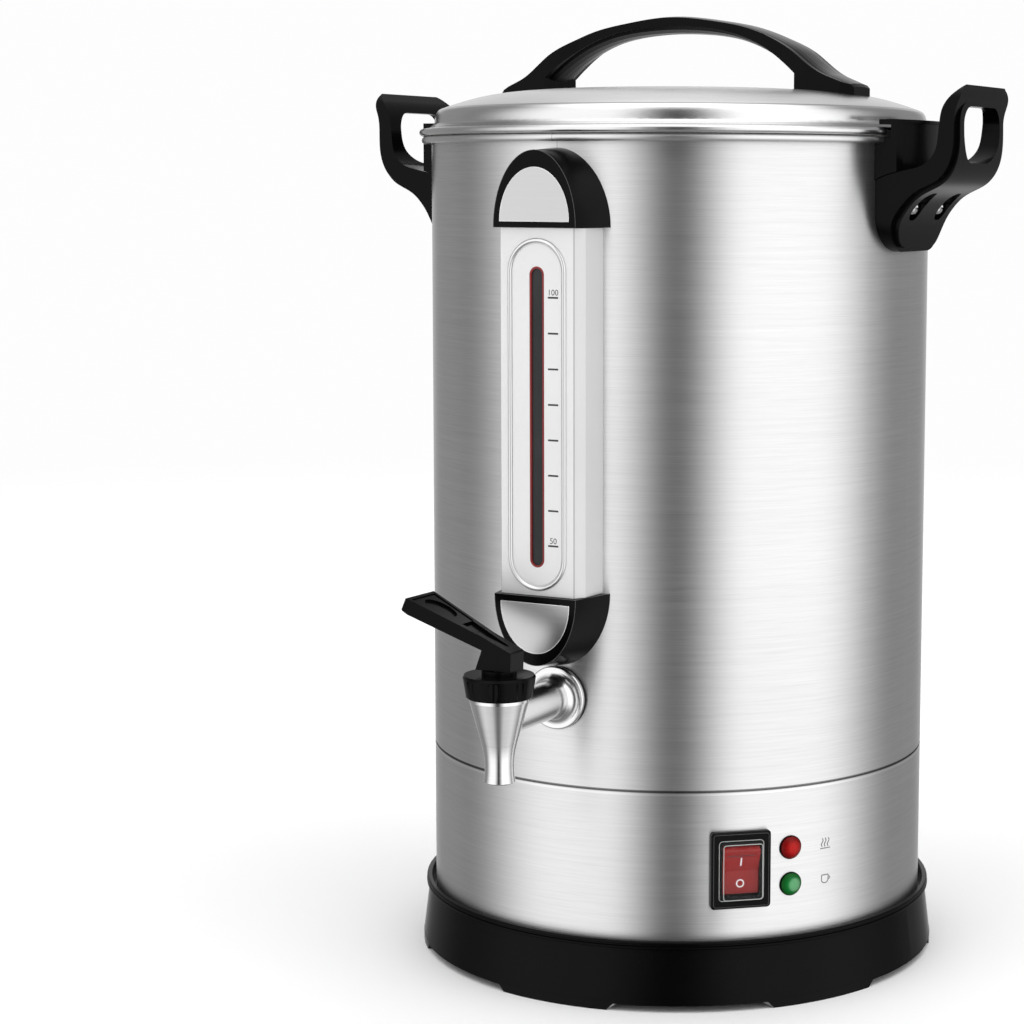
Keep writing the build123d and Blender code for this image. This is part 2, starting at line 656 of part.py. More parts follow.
def arm_plane():
    """Plane on the top of the lever's arm at its heel, its x along the arm towards the tip."""
    slope = math.atan2(LEVER_TOP[1] - LEVER_TOP[0], LEVER_REACH[1] - LEVER_REACH[0])
    along = (-math.cos(slope), 0, math.sin(slope))
    place = (-LEVER_REACH[0], -TAP_R, LEVER_TOP[0])
    return Plane(origin=place, x_dir=along, z_dir=(math.sin(slope), 0, math.cos(slope)))


def thumb_recess():
    """Shallow tray in the arm's top with an oval dish, and a tapered groove behind it."""
    tray = Polygon((32, 6.4), (60.8, 10.9), (60.8, -10.9), (32, -6.4), align=None)
    groove = Polygon((31.9, 5.2), (6.4, 1.0), (5.0, 0), (6.4, -1.0), (31.9, -5.2), align=None)
    oval = Pos(48.8, 0) * Ellipse(9.4, 6.8)
    top = arm_plane()
    return prism(tray, top, -0.5, 5) + prism(groove, top, -1.4, 5) + prism(oval, top, -1.7, 5)


# ------------------------------------------------------------------ switch, lamps, inlet

def switch_plane():
    return wall_plane(SWITCH_ANGLE, SWITCH_Z)


def switch_frame():
    seat = switch_plane()
    width, height = SWITCH_FRAME
    base = prism(RectangleRounded(width, height, 2.0), seat, -3, 1.7)
    bevel = loft([
        seat.offset(1.7) * RectangleRounded(width, height, 2.0),
        seat.offset(3.0) * RectangleRounded(width - 2.6, height - 2.6, 1.2),
    ])
    well = prism(Rectangle(SWITCH_BODY[0] - 0.1, SWITCH_BODY[1] - 0.1), seat, -22, 2.5)
    opening = prism(Rectangle(20.6, 28.4), seat, -17, 5)
    return (base + bevel - DRUM) + well - opening + prism(Circle(1.5), rocker_axis(), -10.5, 10.5)


def rocker_axis():
    """Plane across the switch, looking along the rocker's pivot."""
    seat = switch_plane()
    return Plane(origin=seat.origin + seat.z_dir * ROCKER_PIVOT, x_dir=seat.y_dir, z_dir=seat.x_dir)


def switch_rocker():
    side = face((-13.6, -7), (-13.6, 6.9), (0, 4.6), (13.6, 6.9), (13.6, -7), (3, -9.5), (-3, -9.5))
    plane = rocker_axis()
    solid = prism(side & Circle(ROCKER_REACH), plane, -10.0, 10.0)
    solid -= prism(Circle(1.5 + FIT), plane, -11, 11)
    return solid.rotate(Axis(plane.origin, plane.z_dir), ROCKER_TILT)


def switch_cover():
    """Clear splash cover standing on the frame around the rocker, a little narrower in front."""
    seat = switch_plane()
    outer = loft([
        seat.offset(3.0) * RectangleRounded(24.4, 32.4, 2.0),
        seat.offset(7.0) * RectangleRounded(21.6, 30.0, 1.6),
    ])
    inner = loft([
        seat.offset(2.5) * RectangleRounded(22.9, 30.9, 1.4),
        seat.offset(6.3) * RectangleRounded(20.3, 28.7, 1.0),
    ])
    return outer - inner


def switch_terminals():
    pins = []
    for up in (-9.0, 0.0, 9.0):
        seat = Pos(0, up) * Rectangle(6.3, 0.8)
        pins.append(prism(seat, switch_plane(), -31, -22))
    return pins


def lamp_lens(angle, height):
    lens_r, edge, rise = 5.9, 0.8, 2.4
    ball = (lens_r**2 + rise**2) / (2 * rise)
    dome = Pos(0, 0, edge + rise - ball) * Sphere(ball)
    lens = dome & disc(lens_r, 0, edge + rise + 1)
    return wall_plane(angle, height).offset(0.5) * lens


def lamp_bodies():
    bodies = []
    for angle, height in (RED_LAMP, GREEN_LAMP):
        seat = wall_plane(angle, height)
        collar = prism(Circle(6.4), seat, -1.0, 0.5) - DRUM
        stem = prism(Circle(LAMP_BODY_R - 0.05), seat, -17, 0.5)
        bodies.append(collar + stem)
    return bodies


def inlet_plane():
    return wall_plane(180, INLET_Z)


def power_inlet():
    seat = inlet_plane()
    ears = RectangleRounded(50.0, 22.8, 5.0)
    for side in (-1, 1):
        ears -= Pos(side * INLET_SCREWS, 0) * Circle(1.7)
    flange = prism(ears, seat, -3.5, 2.6) - DRUM
    shroud = prism(Rectangle(INLET_BODY[0] - 0.2, INLET_BODY[1] - 0.2), seat, -19, 2.0)
    socket = Polygon((-12, -8), (12, -8), (12, 4), (8, 8), (-8, 8), (-12, 4), align=None)
    inlet = flange + shroud - prism(socket, seat, -15, 5)
    for x, z in INLET_PINS:
        inlet -= prism(Pos(x, z) * Rectangle(2.0, 4.0), seat, -25, 5)
    return inlet


def inlet_pins():
    return [prism(Pos(x, z) * Rectangle(2.0, 4.0), inlet_plane(), -27, -4) for x, z in INLET_PINS]


def inlet_screws():
    heads = []
    for side in (-1, 1):
        spot = Pos(side * INLET_SCREWS, 0)
        head = prism(spot * Circle(3.0), inlet_plane(), 2.6, 4.2)
        heads.append(head + prism(spot * Circle(1.55), inlet_plane(), -8, 3))
    return heads


# ------------------------------------------------------------------ heater and wiring
def heater_ring():
    """Sheathed heater bent to a ring under the floor, with two cold tails."""
    radius, height, thick, gap = 52.0, 137.4, 3.6, 9.0
    section = Plane.XZ * (Pos(radius, height) * Circle(thick))
    heater = Rot(0, 0, 90 + gap / 2) * revolve(section, Axis.Z, 360 - gap)
    for side in (-1, 1):
        turn = math.radians(90 + side * gap / 2)
        x, y = radius * math.cos(turn), radius * math.sin(turn)
        heater += disc(thick, 118, height, x, y) + Pos(x, y, height) * Sphere(thick)
    return heater


def well_heater():
    return ring(21, 8, 124.5, WELL_Z - SHEET)


def thermostat():
    return disc(13, 127, 141.2, 92, 0) + disc(4, 121, 128, 92, 0)


def thermal_cutout():
    return disc(9, 131, 141.2, -92, 0) + block((-96, -88), (-1.5, 1.5), (126, 132))


def terminal_block():
    low, high = PLATE_Z[1], PLATE_Z[1] + 16
    base = block((-24, 24), (88, 104), (low, high))
    for k in range(3):
        base -= disc(2.6, high - 7, high + 3, -15 + 15 * k, 96)
    return base


def wire(points, radius=1.6, bend=5.0):
    """Internal lead on straight runs joined by arcs."""
    route = FilletPolyline(*points, radius=bend)
    start = Plane(origin=route @ 0, z_dir=route % 0)
    return sweep(start * Circle(radius), path=route)


def wiring():
    top = PLATE_Z[1] + 16
    turn = math.radians(SWITCH_ANGLE)
    near, far = [(r * math.sin(turn), -r * math.cos(turn), SWITCH_Z) for r in (95, 109)]
    runs = [
        [(-15, 96, top), (-15, 96, 60), (-7, 101, 70), (-7, 113, 70)],
        [(0, 96, top), (0, 96, 75), (0, 60, 92), (-4.1, 51.8, 104), (-4.1, 51.8, 118)],
        [(15, 96, top), (15, 96, 82), (88, 6, 92), (92, 0, 104), (92, 0, 121)],
        [(24, 96, top - 7), (34, 96, top - 7), (60, 70, 40), (80, 0, 52), near, far],
    ]
    return [wire(run) for run in runs]


# ------------------------------------------------------------------ percolator
def basket():
    low, high = BASKET_Z
    inside = BASKET_R - 0.7
    wall = ring(BASKET_R, inside, low, high)
    for share in (0.38, 0.62):
        rib = low + share * (high - low)
        bulge = spin(
            (inside, rib - 4), (BASKET_R, rib - 4), ((BASKET_R + 2.2, rib), (BASKET_R, rib + 4)),
            (inside, rib + 4), ((BASKET_R + 1.4, rib), (inside, rib - 4)),
        )
        wall = wall - ring(BASKET_R + 1, BASKET_R - 2, rib - 3.9, rib + 3.9) + bulge
    hem = Pos(0, 0, high - 1.2) * Torus(BASKET_R + 0.4, 1.2)
    deck = disc(BASKET_R - 0.1, low, low + 0.7) - basket_holes(low)
    neck = ring(PUMP_R + 1.2, PUMP_R + 0.25, low, low + 3)
    return wall + hem + deck + neck - disc(PUMP_R + 0.25, low - 1, low + 2)


def basket_holes(low):
    """Perforation in rings, coarse here."""
    holes = []
    for row, radius in enumerate((24, 44, 64, 84, 104, 120)):
        count = int(2 * math.pi * radius / 21)
        for k in range(count):
            turn = 2 * math.pi * (k + 0.5 * (row % 2)) / count
            holes.append(disc(2.0, low - 1, low + 2, radius * math.cos(turn), radius * math.sin(turn)))
    return Part() + holes


def pump_tube():
    tube = ring(PUMP_R, PUMP_R - 0.75, PUMP_Z[0], PUMP_Z[1])
    stop = ring(12.0, PUMP_R - 0.3, BASKET_Z[0] - 1.8, BASKET_Z[0] - 0.2)
    saddle = ring(7.4, PUMP_R - 0.3, 424.0, 425.4)
    return tube + stop + saddle


def pump_foot():
    cup = disc(20.75, 134.0, 152.0) - disc(20.0, 134.8, 153)
    hem = Pos(0, 0, 151.4) * Torus(20.9, 0.9)
    sleeve = ring(PUMP_R + 1.5, PUMP_R, 139.0, 150.0)
    web = ring(20.2, PUMP_R + 1.0, 142.0, 142.8)
    for k in range(6):
        turn = math.radians(60 * k)
        web -= disc(3.0, 141, 144, 13 * math.cos(turn), 13 * math.sin(turn))
        cup -= disc(2.4, 133, 136, 14.5 * math.cos(turn), 14.5 * math.sin(turn))
    cup -= disc(3.5, 133, 136)
    return cup + hem + sleeve + web


def valve_washer():
    return disc(8.0, 134.9, 135.9)


def spreader_plate():
    dome = spin((0, 446.0), (26.0, 444.4), (27.5, 443.6), (27.5, 444.6), (26.2, 445.4), (0, 447.0))
    neck = ring(PUMP_R + 1.1, PUMP_R + FIT, 436.0, 446.2)
    return dome + neck


def spreader_spring():
    return coil(0, 0, 425.4, 443.0, 6.3, 0.8, 5)


# ------------------------------------------------------------------ assembly
def build():
    turn = Rot(0, 0, 180)
    handle = handle_solid()
    bolts = handle_bolts()
    guard = rim_guard()
    parts["tank_shell"] = tank_shell()
    parts["tank_floor"] = tank_floor()
    parts["base_housing"] = base_housing()
    parts["base_ring"] = base_ring()
    parts["bottom_plate"] = bottom_plate()
    parts["bottom_screws"] = bottom_screws()
    parts["foot_pads"] = foot_pads()
    parts["lid_shell"] = lid_shell()
    parts["lid_seal"] = lid_seal()
    parts["lid_handle"] = lid_handle()
    parts["lid_handle_screws"] = lid_handle_screws()
    parts["side_handle_right"] = handle
    parts["side_handle_left"] = turn * handle
    parts["handle_bolts"] = bolts + [turn * bolt for bolt in bolts]
    parts["rim_guard_right"] = guard
    parts["rim_guard_left"] = turn * guard
    parts["gauge_channel"] = gauge_channel()
    parts["gauge_bezel"] = gauge_bezel()
    parts["gauge_scale_plate"] = gauge_scale_plate()
    parts["gauge_tube"] = gauge_tube()
    parts["gauge_back_strip"] = gauge_back_strip()
    parts["gauge_seals"] = gauge_seals()
    parts["gauge_nipple"] = gauge_nipple()
    parts["gauge_cap_top"] = gauge_cap(*TOP_CAP)
    parts["gauge_cap_bottom"] = gauge_cap(*LOW_CAP)
    parts["cap_inserts"] = [cap_insert(*cap).solid() for cap in (TOP_CAP, LOW_CAP)]
    parts["tap_body"] = tap_body()
    parts["tap_flange"] = tap_flange()
    parts["tap_gaskets"] = tap_gaskets()
    parts["tap_locknut"] = tap_locknut()
    parts["tap_shank"] = tap_shank()
    parts["tap_bonnet"] = tap_bonnet()
    parts["tap_heel_washer"] = tap_heel_washer()
    parts["tap_stem"] = tap_stem()
    parts["tap_seat_cup"] = tap_seat_cup()
    parts["tap_spring"] = tap_spring()
    parts["tap_lever"] = tap_lever()
    parts["tap_lever_pin"] = lever_pin()
    parts["switch_frame"] = switch_frame()
    parts["switch_rocker"] = switch_rocker()
    parts["switch_cover"] = switch_cover()
    parts["switch_terminals"] = switch_terminals()
    parts["lamp_red_lens"] = lamp_lens(*RED_LAMP)
    parts["lamp_green_lens"] = lamp_lens(*GREEN_LAMP)
    parts["lamp_bodies"] = lamp_bodies()
    parts["power_inlet"] = power_inlet()
    parts["inlet_pins"] = inlet_pins()
    parts["inlet_screws"] = inlet_screws()
    parts["heater_ring"] = heater_ring()
    parts["thermostat"] = thermostat()
    parts["thermal_cutout"] = thermal_cutout()
    parts["well_heater"] = well_heater()
    parts["terminal_block"] = terminal_block()
    parts["wiring"] = wiring()
    parts["basket"] = basket()
    parts["pump_tube"] = pump_tube()
    parts["pump_foot"] = pump_foot()
    parts["valve_washer"] = valve_washer()
    parts["spreader_plate"] = spreader_plate()
    parts["spreader_spring"] = spreader_spring()


if __name__ == "__main__":
    build()
    os.makedirs("parts", exist_ok=True)
    for name, shape in parts.items():
        solids = shape if isinstance(shape, list) else list(shape.solids())
        whole = solids[0] if len(solids) == 1 else Compound(children=solids)
        export_step(whole, f"parts/{name}.step")
        print(name, len(solids), round(sum(s.volume for s in solids), 1))
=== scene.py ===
# %% [markdown]
# # A coffee urn, finished in Blender
# The urn's pieces come in as a fixed frame of CAD nodes, at their real size and in their real place.
# This lesson gives each of them the finish that the real piece has, and adds the fine pieces that
# only the eye needs. The whole urn could be modelled here, but two drawings of one fit soon disagree,
# so the frame stays as it is, and new pieces take their places from the boxes of its nodes.

# %% The frame
import json
import math

import bmesh
import bpy
from mathutils import Matrix, Vector

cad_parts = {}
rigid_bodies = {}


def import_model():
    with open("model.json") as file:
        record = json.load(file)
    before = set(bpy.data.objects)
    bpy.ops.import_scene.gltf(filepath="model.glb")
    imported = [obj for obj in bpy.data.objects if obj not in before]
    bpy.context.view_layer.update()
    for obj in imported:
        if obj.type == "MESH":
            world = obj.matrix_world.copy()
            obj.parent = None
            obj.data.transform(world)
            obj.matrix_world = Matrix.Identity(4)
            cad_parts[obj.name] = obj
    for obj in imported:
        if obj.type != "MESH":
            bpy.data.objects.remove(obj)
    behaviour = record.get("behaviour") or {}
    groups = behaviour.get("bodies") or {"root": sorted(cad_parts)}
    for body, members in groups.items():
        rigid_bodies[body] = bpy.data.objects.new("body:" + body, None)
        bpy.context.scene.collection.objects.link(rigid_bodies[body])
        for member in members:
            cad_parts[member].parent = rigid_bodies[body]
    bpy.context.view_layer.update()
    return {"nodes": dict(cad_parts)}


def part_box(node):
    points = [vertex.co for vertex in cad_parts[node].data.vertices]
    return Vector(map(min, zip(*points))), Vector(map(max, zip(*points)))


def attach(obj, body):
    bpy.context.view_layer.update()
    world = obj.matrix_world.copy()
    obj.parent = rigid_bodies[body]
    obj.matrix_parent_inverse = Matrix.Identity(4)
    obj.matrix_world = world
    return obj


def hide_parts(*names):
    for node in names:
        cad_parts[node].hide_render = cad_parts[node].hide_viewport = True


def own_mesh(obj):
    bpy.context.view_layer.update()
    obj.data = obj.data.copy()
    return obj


for stray in list(bpy.data.objects):
    bpy.data.objects.remove(stray)
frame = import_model()

MM = 0.001  # named sizes and places are in millimetres, unless their comment says otherwise


def box_mm(node):
    """Lowest and highest corner of a CAD node, in millimetres to a hundredth."""
    return [Vector([round(v / MM, 2) for v in corner]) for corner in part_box(node)]


DRUM_R = box_mm("base_housing")[1].x
print("drum radius:", DRUM_R, "mm")

# %% [markdown]
# ## The camera
# A long lens from well back keeps the drum's edges nearly parallel, as in a catalogue picture. A
# short lens close by could frame the urn as well, but it would bow the rim and the seam. The camera
# stands a little to the right of the tap and about level with the rim, and looks slightly down.

# %% Camera
CAMERA_TURN = math.radians(27.0)  # round the urn from straight in front of the tap
CAMERA_AWAY = 1.393  # metres from the urn's axis
CAMERA_HEIGHT = 0.4316  # metres
LOOK_LEFT = math.radians(0.069)
LOOK_DOWN = math.radians(6.618)
TILT = math.radians(0.266)
LENS = 85.92
SHIFT = (-0.1602, -0.0391)  # the picture is framed off the lens's middle


def make_camera():
    data = bpy.data.cameras.new("camera")
    data.lens = LENS
    data.sensor_width = 36.0
    data.shift_x, data.shift_y = SHIFT
    data.clip_start = 0.05
    data.clip_end = 60.0
    camera = bpy.data.objects.new("camera", data)
    bpy.context.scene.collection.objects.link(camera)
    place = Vector((math.sin(CAMERA_TURN), -math.cos(CAMERA_TURN), 0.0)) * CAMERA_AWAY
    camera.location = place + Vector((0, 0, CAMERA_HEIGHT))
    heading = Matrix.Rotation(CAMERA_TURN + LOOK_LEFT, 3, "Z")
    pitch = Matrix.Rotation(math.pi / 2 - LOOK_DOWN, 3, "X")
    roll = Matrix.Rotation(TILT, 3, "Z")
    camera.rotation_euler = (heading @ pitch @ roll).to_euler()
    bpy.context.scene.camera = camera
    print("camera at", [round(v, 3) for v in camera.location])


make_camera()

# %% [markdown]
# ## Shader maths as expressions
# A material that changes over its surface is a sum: a base colour, plus streaks, less wear. Wiring
# Math nodes by hand hides that sum, so `Value` wraps a socket and lets `+`, `-` and `*` add the nodes.

# %% Value


class Value:
    """One number, vector or shape inside a node tree. Numbers can be used in an expression."""

    def __init__(self, tree, socket):
        self.tree = tree
        self.socket = socket

    def maths(self, operation, *others):
        return self.tree.node("ShaderNodeMath", {"operation": operation}, dict(enumerate((self, *others))))

    def __add__(self, other):
        return self.maths("ADD", other)

    def __sub__(self, other):
        return self.maths("SUBTRACT", other)

    def __mul__(self, other):
        return self.maths("MULTIPLY", other)

    def __truediv__(self, other):
        return self.maths("DIVIDE", other)

    def __pow__(self, other):
        return self.maths("POWER", other)

    def __rsub__(self, other):
        return self.tree.node("ShaderNodeMath", {"operation": "SUBTRACT"}, {0: other, 1: self})

    __radd__ = __add__
    __rmul__ = __mul__

    def ramp(self, low, high):
        """0 below low, 1 above high, and smooth between them."""
        settings = {"interpolation_type": "SMOOTHSTEP"}
        return self.tree.node("ShaderNodeMapRange", settings, {0: self, 1: low, 2: high})


# %% [markdown]
# Every other node comes from `Tree.node`, which takes its settings first and then the values or links
# of its sockets. `Finish` adds the few shader nodes that this urn's finishes are put together from.

# %% Tree and Finish


class Tree:
    """A node tree that is built node by node."""

    def __init__(self, data):
        self.data = data
        data.nodes.clear()

    def node(self, kind, settings=None, inputs=None, output=0):
        """Makes a node and hands back one of its outputs."""
        made = self.data.nodes.new(kind)
        for name, setting in (settings or {}).items():
            setattr(made, name, setting)
        for key, given in (inputs or {}).items():
            if isinstance(given, Value):
                self.data.links.new(given.socket, made.inputs[key])
            else:
                made.inputs[key].default_value = given
        return Value(self, made.outputs[output]) if len(made.outputs) else made


class Finish(Tree):
    """The shader of a material or of the world."""

    def __init__(self, owner):
        owner.use_nodes = True
        super().__init__(owner.node_tree)
        self.owner = owner

    def place(self):
        """Object coordinates, in metres."""
        return self.node("ShaderNodeTexCoord", output="Object")

    def xyz(self, vector):
        first = self.node("ShaderNodeSeparateXYZ", inputs={0: vector})
        return [Value(self, socket) for socket in first.socket.node.outputs]

    def stretched(self, vector, scale):
        """Coordinates scaled along each axis."""
        return self.node("ShaderNodeMapping", inputs={"Vector": vector, "Scale": scale})

    def noise(self, vector, scale=1.0, detail=2.0, rough=0.5):
        inputs = {"Vector": vector, "Scale": scale, "Detail": detail, "Roughness": rough}
        return self.node("ShaderNodeTexNoise", inputs=inputs)

    def mix(self, factor, first, second):
        """A colour between two colours, which are sockets 6 and 7 of the node."""
        settings = {"data_type": "RGBA"}
        return self.node("ShaderNodeMix", settings, {0: factor, 6: first, 7: second}, output=2)

    def bump(self, height, distance):
        """A normal from a height between 0 and 1 and its depth in metres."""
        return self.node("ShaderNodeBump", inputs={"Height": height, "Distance": distance, "Strength": 1.0})

    def surface(self, **inputs):
        """The material, with these sockets of the Principled shader."""
        named = {key.replace("_", " ").title().replace("Ior", "IOR"): given for key, given in inputs.items()}
        shader = self.node("ShaderNodeBsdfPrincipled", inputs=named)
        self.node("ShaderNodeOutputMaterial", inputs={0: shader})
        return self.owner


def new_finish(name):
    return Finish(bpy.data.materials.new(name))


def grey(level):
    """A neutral colour from one number."""
    return (level, level, level, 1.0)


# %% [markdown]
# ## Studio light
# Brushed steel shows little of its own: it shows the room. A long soft box stands on each side of
# the camera with a gap between them, and dim walls stand behind, which gives the drum its two
# bright bands, the dark line between them and its grey edges. Area lamps could do it, but they have
# hard ends and leave grain in the steel. Soft-edged panels painted on the world's sphere don't.

# %% World
BACKDROP = 0.985  # what the camera itself sees behind the urn
PANELS = (  # degrees from the camera's side where a panel begins, is full, fades and ends; its light
    (-0.5, 31.0, 66.0, 121.0, 1.46),
    (-119.0, -61.0, -34.0, -3.0, 1.33),
    (90.0, 126.0, 234.0, 270.0, 0.30),
    (150.0, 174.0, 186.0, 210.0, 0.58),
)
WALL = 0.035
CEILING = 2.2
CEILING_EDGE = (0.70, 0.98)  # sine of the height at which it begins and is full
FLOOR_BOUNCE = 0.25
BOUNCE_EDGE = (0.35, 0.9)  # the same below the horizon
LIGHT_MAP = 512


def make_world():
    world = bpy.data.worlds.new("studio")
    bpy.context.scene.world = world
    sky = Finish(world)
    x, y, z = sky.xyz(sky.node("ShaderNodeTexCoord", output="Generated"))
    angle = y.maths("ARCTAN2", x) * (180.0 / math.pi)
    camera_side = math.degrees(CAMERA_TURN) - 90.0
    light = WALL
    for begins, full, fades, ends, level in PANELS:
        middle = 0.5 * (begins + ends)
        away = (angle - (camera_side + middle)) / 360.0
        turn = (away - (away + 0.5).maths("FLOOR")) * 360.0 + middle
        panel = turn.ramp(begins, full) * (1.0 - turn.ramp(fades, ends))
        light = light + panel * (level - WALL)
    up = z.ramp(*CEILING_EDGE)
    down = (-1.0 * z).ramp(*BOUNCE_EDGE)
    light = light * (1.0 - up) + up * CEILING
    light = light * (1.0 - down) + down * FLOOR_BOUNCE
    seen = sky.node("ShaderNodeLightPath", output="Is Camera Ray")
    shade = light * (1.0 - seen) + seen * BACKDROP
    colour = sky.node("ShaderNodeCombineColor", inputs={0: shade, 1: shade, 2: shade})
    background = sky.node("ShaderNodeBackground", inputs={0: colour, 1: 1.0})
    sky.node("ShaderNodeOutputWorld", inputs={0: background})
    world.cycles.sampling_method = "MANUAL"
    world.cycles.sample_map_resolution = LIGHT_MAP
    print("light panels:", len(PANELS))


make_world()
bpy.context.scene.view_settings.view_transform = "Standard"

# %% [markdown]
# ## The floor
# The urn stands on pale paper, which catches its shadow. A square sheet or a curved backdrop would
# show its edge or its bend from some side. A disc that fades out a few metres away shows neither.

# %% Floor
FLOOR_RADIUS = 6.0  # metres
FLOOR_FADE = (0.9, 2.6)  # metres from the urn's axis
FLOOR_TONE = 0.96


def make_floor():
    finish = new_finish("pale_floor")
    x, y, _ = finish.xyz(finish.place())
    away = (x * x + y * y).maths("SQRT")
    matt = finish.node("ShaderNodeBsdfDiffuse", inputs={0: grey(FLOOR_TONE)})
    clear = finish.node("ShaderNodeBsdfTransparent")
    shader = finish.node("ShaderNodeMixShader", inputs={0: away.ramp(*FLOOR_FADE), 1: matt, 2: clear})
    finish.node("ShaderNodeOutputMaterial", inputs={0: shader})
    mesh = bpy.data.meshes.new("floor")
    floor = bpy.data.objects.new("floor", mesh)
    bpy.context.scene.collection.objects.link(floor)
    shape = bmesh.new()
    bmesh.ops.create_circle(shape, cap_ends=True, segments=96, radius=FLOOR_RADIUS)
    shape.to_mesh(mesh)
    shape.free()
    mesh.materials.append(finish.owner)
    floor.visible_glossy = False
    print("floor:", FLOOR_RADIUS, "m, faded out at", FLOOR_FADE[1], "m")


make_floor()

# %% [markdown]
# ## Steel
# Stainless sheet gets its look from a belt that runs along it and leaves fine lines. Across the
# lines the reflection is smeared, along them it stays sharp. The lines could be cut in the mesh, at
# a great cost; a bump alone would only sparkle. So the shader's anisotropic value makes the smear,
# and a noise that is stretched along the belt's run makes the lines that can be seen. For anything
# turned or rolled about the urn's axis, that noise is fine in height and slow in plan.

# %% Steel
FINISHES = {}
SMEAR_TURN = 0.25  # a quarter turn: the smear lies across the lines
DRUM_LINES = (38.0, 38.0, 2300.0)  # how fine the lines are along x, y and z
TURNED_LINES = (60.0, 60.0, 3000.0)
SLOW_SHARE = 0.21  # the slow lines are this much coarser
CLOUD_SCALE = 9.0
CLOUD_DEPTH = 0.05
LINE_ROUGHNESS = 0.12


def steel(name, base, rough, lines, smear, line_depth, shade_depth, marks=None):
    """Steel with belt lines; `marks` adds tone along lines: a weld, and painted shade and highlights at
    joints and creases.
    """
    finish = new_finish(name)
    place = finish.place()
    fine = finish.noise(finish.stretched(place, lines), detail=3.0, rough=0.65)
    slow = finish.noise(finish.stretched(place, tuple(v * SLOW_SHARE for v in lines)))
    cloud = finish.noise(place, scale=CLOUD_SCALE, detail=1.0)
    streak = fine * 0.65 + slow * 0.35 - 0.5
    tone = streak * shade_depth + (cloud - 0.5) * CLOUD_DEPTH + 0.5
    if marks:
        tone = tone + marks(finish)
    FINISHES[name] = finish.surface(
        base_color=finish.mix(tone.ramp(0.0, 1.0), grey(base - 0.5), grey(base + 0.5)),
        metallic=1.0,
        roughness=rough + streak * LINE_ROUGHNESS,
        anisotropic=smear,
        anisotropic_rotation=SMEAR_TURN,
        tangent=finish.node("ShaderNodeTangent", {"direction_type": "RADIAL", "axis": "Z"}),
        normal=finish.bump(streak, line_depth),
    )


# %% [markdown]
# The drum carries two joints that are drawn by the finish. Its sheet is rolled and butt-welded
# above the tap. That leaves a hair line, which is polished out further down. The base housing is
# pushed in under the tank; the finish paints shade into the gap and a highlight on the rolled edge
# below it. The lid has two creases from the press, at its shoulder and at the foot of its wall,
# with painted shade along them. Grooves in the mesh would be thinner than its triangles, so a tone
# along each line stands for them.

# %% Joints and creases
SEAM_Z = box_mm("tank_shell")[0].z - 0.4  # the middle of the gap under the tank's sheet
# how far below the seam's gap the painted highlight of the rolled edge lies
SEAM_HIGHLIGHT_BELOW = 1.7
WELD_HALF = 0.35
WELD_FADE = (300.0, 400.0)
LID_LOW = box_mm("lid_shell")[0].z
LID_SHOULDER_Z = LID_LOW + 22.0
LID_FOOT_Z = LID_LOW + 11.9


def line_at(value, place, core, end):
    """1 where a coordinate is within `core` of a place, and 0 beyond `end`, all in millimetres."""
    return 1.0 - (value - place * MM).maths("ABSOLUTE").ramp(core * MM, end * MM)


def drum_weld_and_seam_shading(finish):
    x, y, z = finish.xyz(finish.place())
    front = 1.0 - y.ramp(-20.0 * MM, 0.0)
    weld = line_at(x, 0.0, 0.4 * WELD_HALF, WELD_HALF) * front
    kept = z.ramp(WELD_FADE[0] * MM, WELD_FADE[1] * MM)
    # painted shade in the seam's gap, and a painted highlight on the rolled edge below it; the weld line is
    # the sheet's own mark
    seam_gap_shade = line_at(z, SEAM_Z, 0.5, 0.9)
    edge = line_at(z, SEAM_Z - SEAM_HIGHLIGHT_BELOW, 0.2, 0.8)
    return edge * 0.10 - weld * kept * 0.16 - seam_gap_shade * 0.55


def lid_crease_shade(finish):
    _, _, z = finish.xyz(finish.place())
    # painted shade: darker lines along the lid's shoulder and along the foot of its wall
    return line_at(z, LID_SHOULDER_Z, 0.1, 0.4) * -0.26 - line_at(z, LID_FOOT_Z, 0.5, 1.5) * 0.16


# tone, roughness, lines, smear, depth of the lines in metres and of their shade, marks
steel("brushed_body_steel", 0.74, 0.36, DRUM_LINES, 0.85, 2e-6, 0.22, drum_weld_and_seam_shading)
steel("polished_lid_steel", 0.72, 0.25, DRUM_LINES, 0.75, 6e-7, 0.12, lid_crease_shade)
steel("satin_steel", 0.53, 0.30, TURNED_LINES, 0.4, 5e-7, 0.06)
steel("tap_steel", 0.76, 0.20, TURNED_LINES, 0.6, 6e-7, 0.12)
steel("screw_steel", 0.72, 0.22, TURNED_LINES, 0.2, 1e-6, 0.08)
steel("spring_steel", 0.60, 0.26, TURNED_LINES, 0.2, 1e-6, 0.08)
steel("zinc_steel", 0.60, 0.45, TURNED_LINES, 0.1, 1e-6, 0.12)
steel("chrome_trim", 0.90, 0.16, TURNED_LINES, 0.0, 0.0, 0.02)
steel("satin_bead", 0.78, 0.30, TURNED_LINES, 0.0, 0.0, 0.02)
steel("heater_sheath", 0.35, 0.45, TURNED_LINES, 0.1, 1e-6, 0.15)
print("steels:", ", ".join(FINISHES))

# %% [markdown]
# ## Plastic, rubber and glass
# The black parts are moulded with a fine spark grain. A flat black would look like a hole, so a tiny
# all-over bump breaks the reflection, and the roughness wanders a little where hands have rubbed it.
# Black plastic mirrors very little of the room, so its specular level is kept low; a high one would
# turn it grey between the panels. Glass, prints and edges are smooth: they take no bump.

# %% Moulded finishes
RUBBED_SCALE = 28.0
RUBBED_LIFT = 1.25  # how much lighter the rubbed places are
RUBBED_ROUGHNESS = 0.06
PIT_ROUGHNESS = 0.05


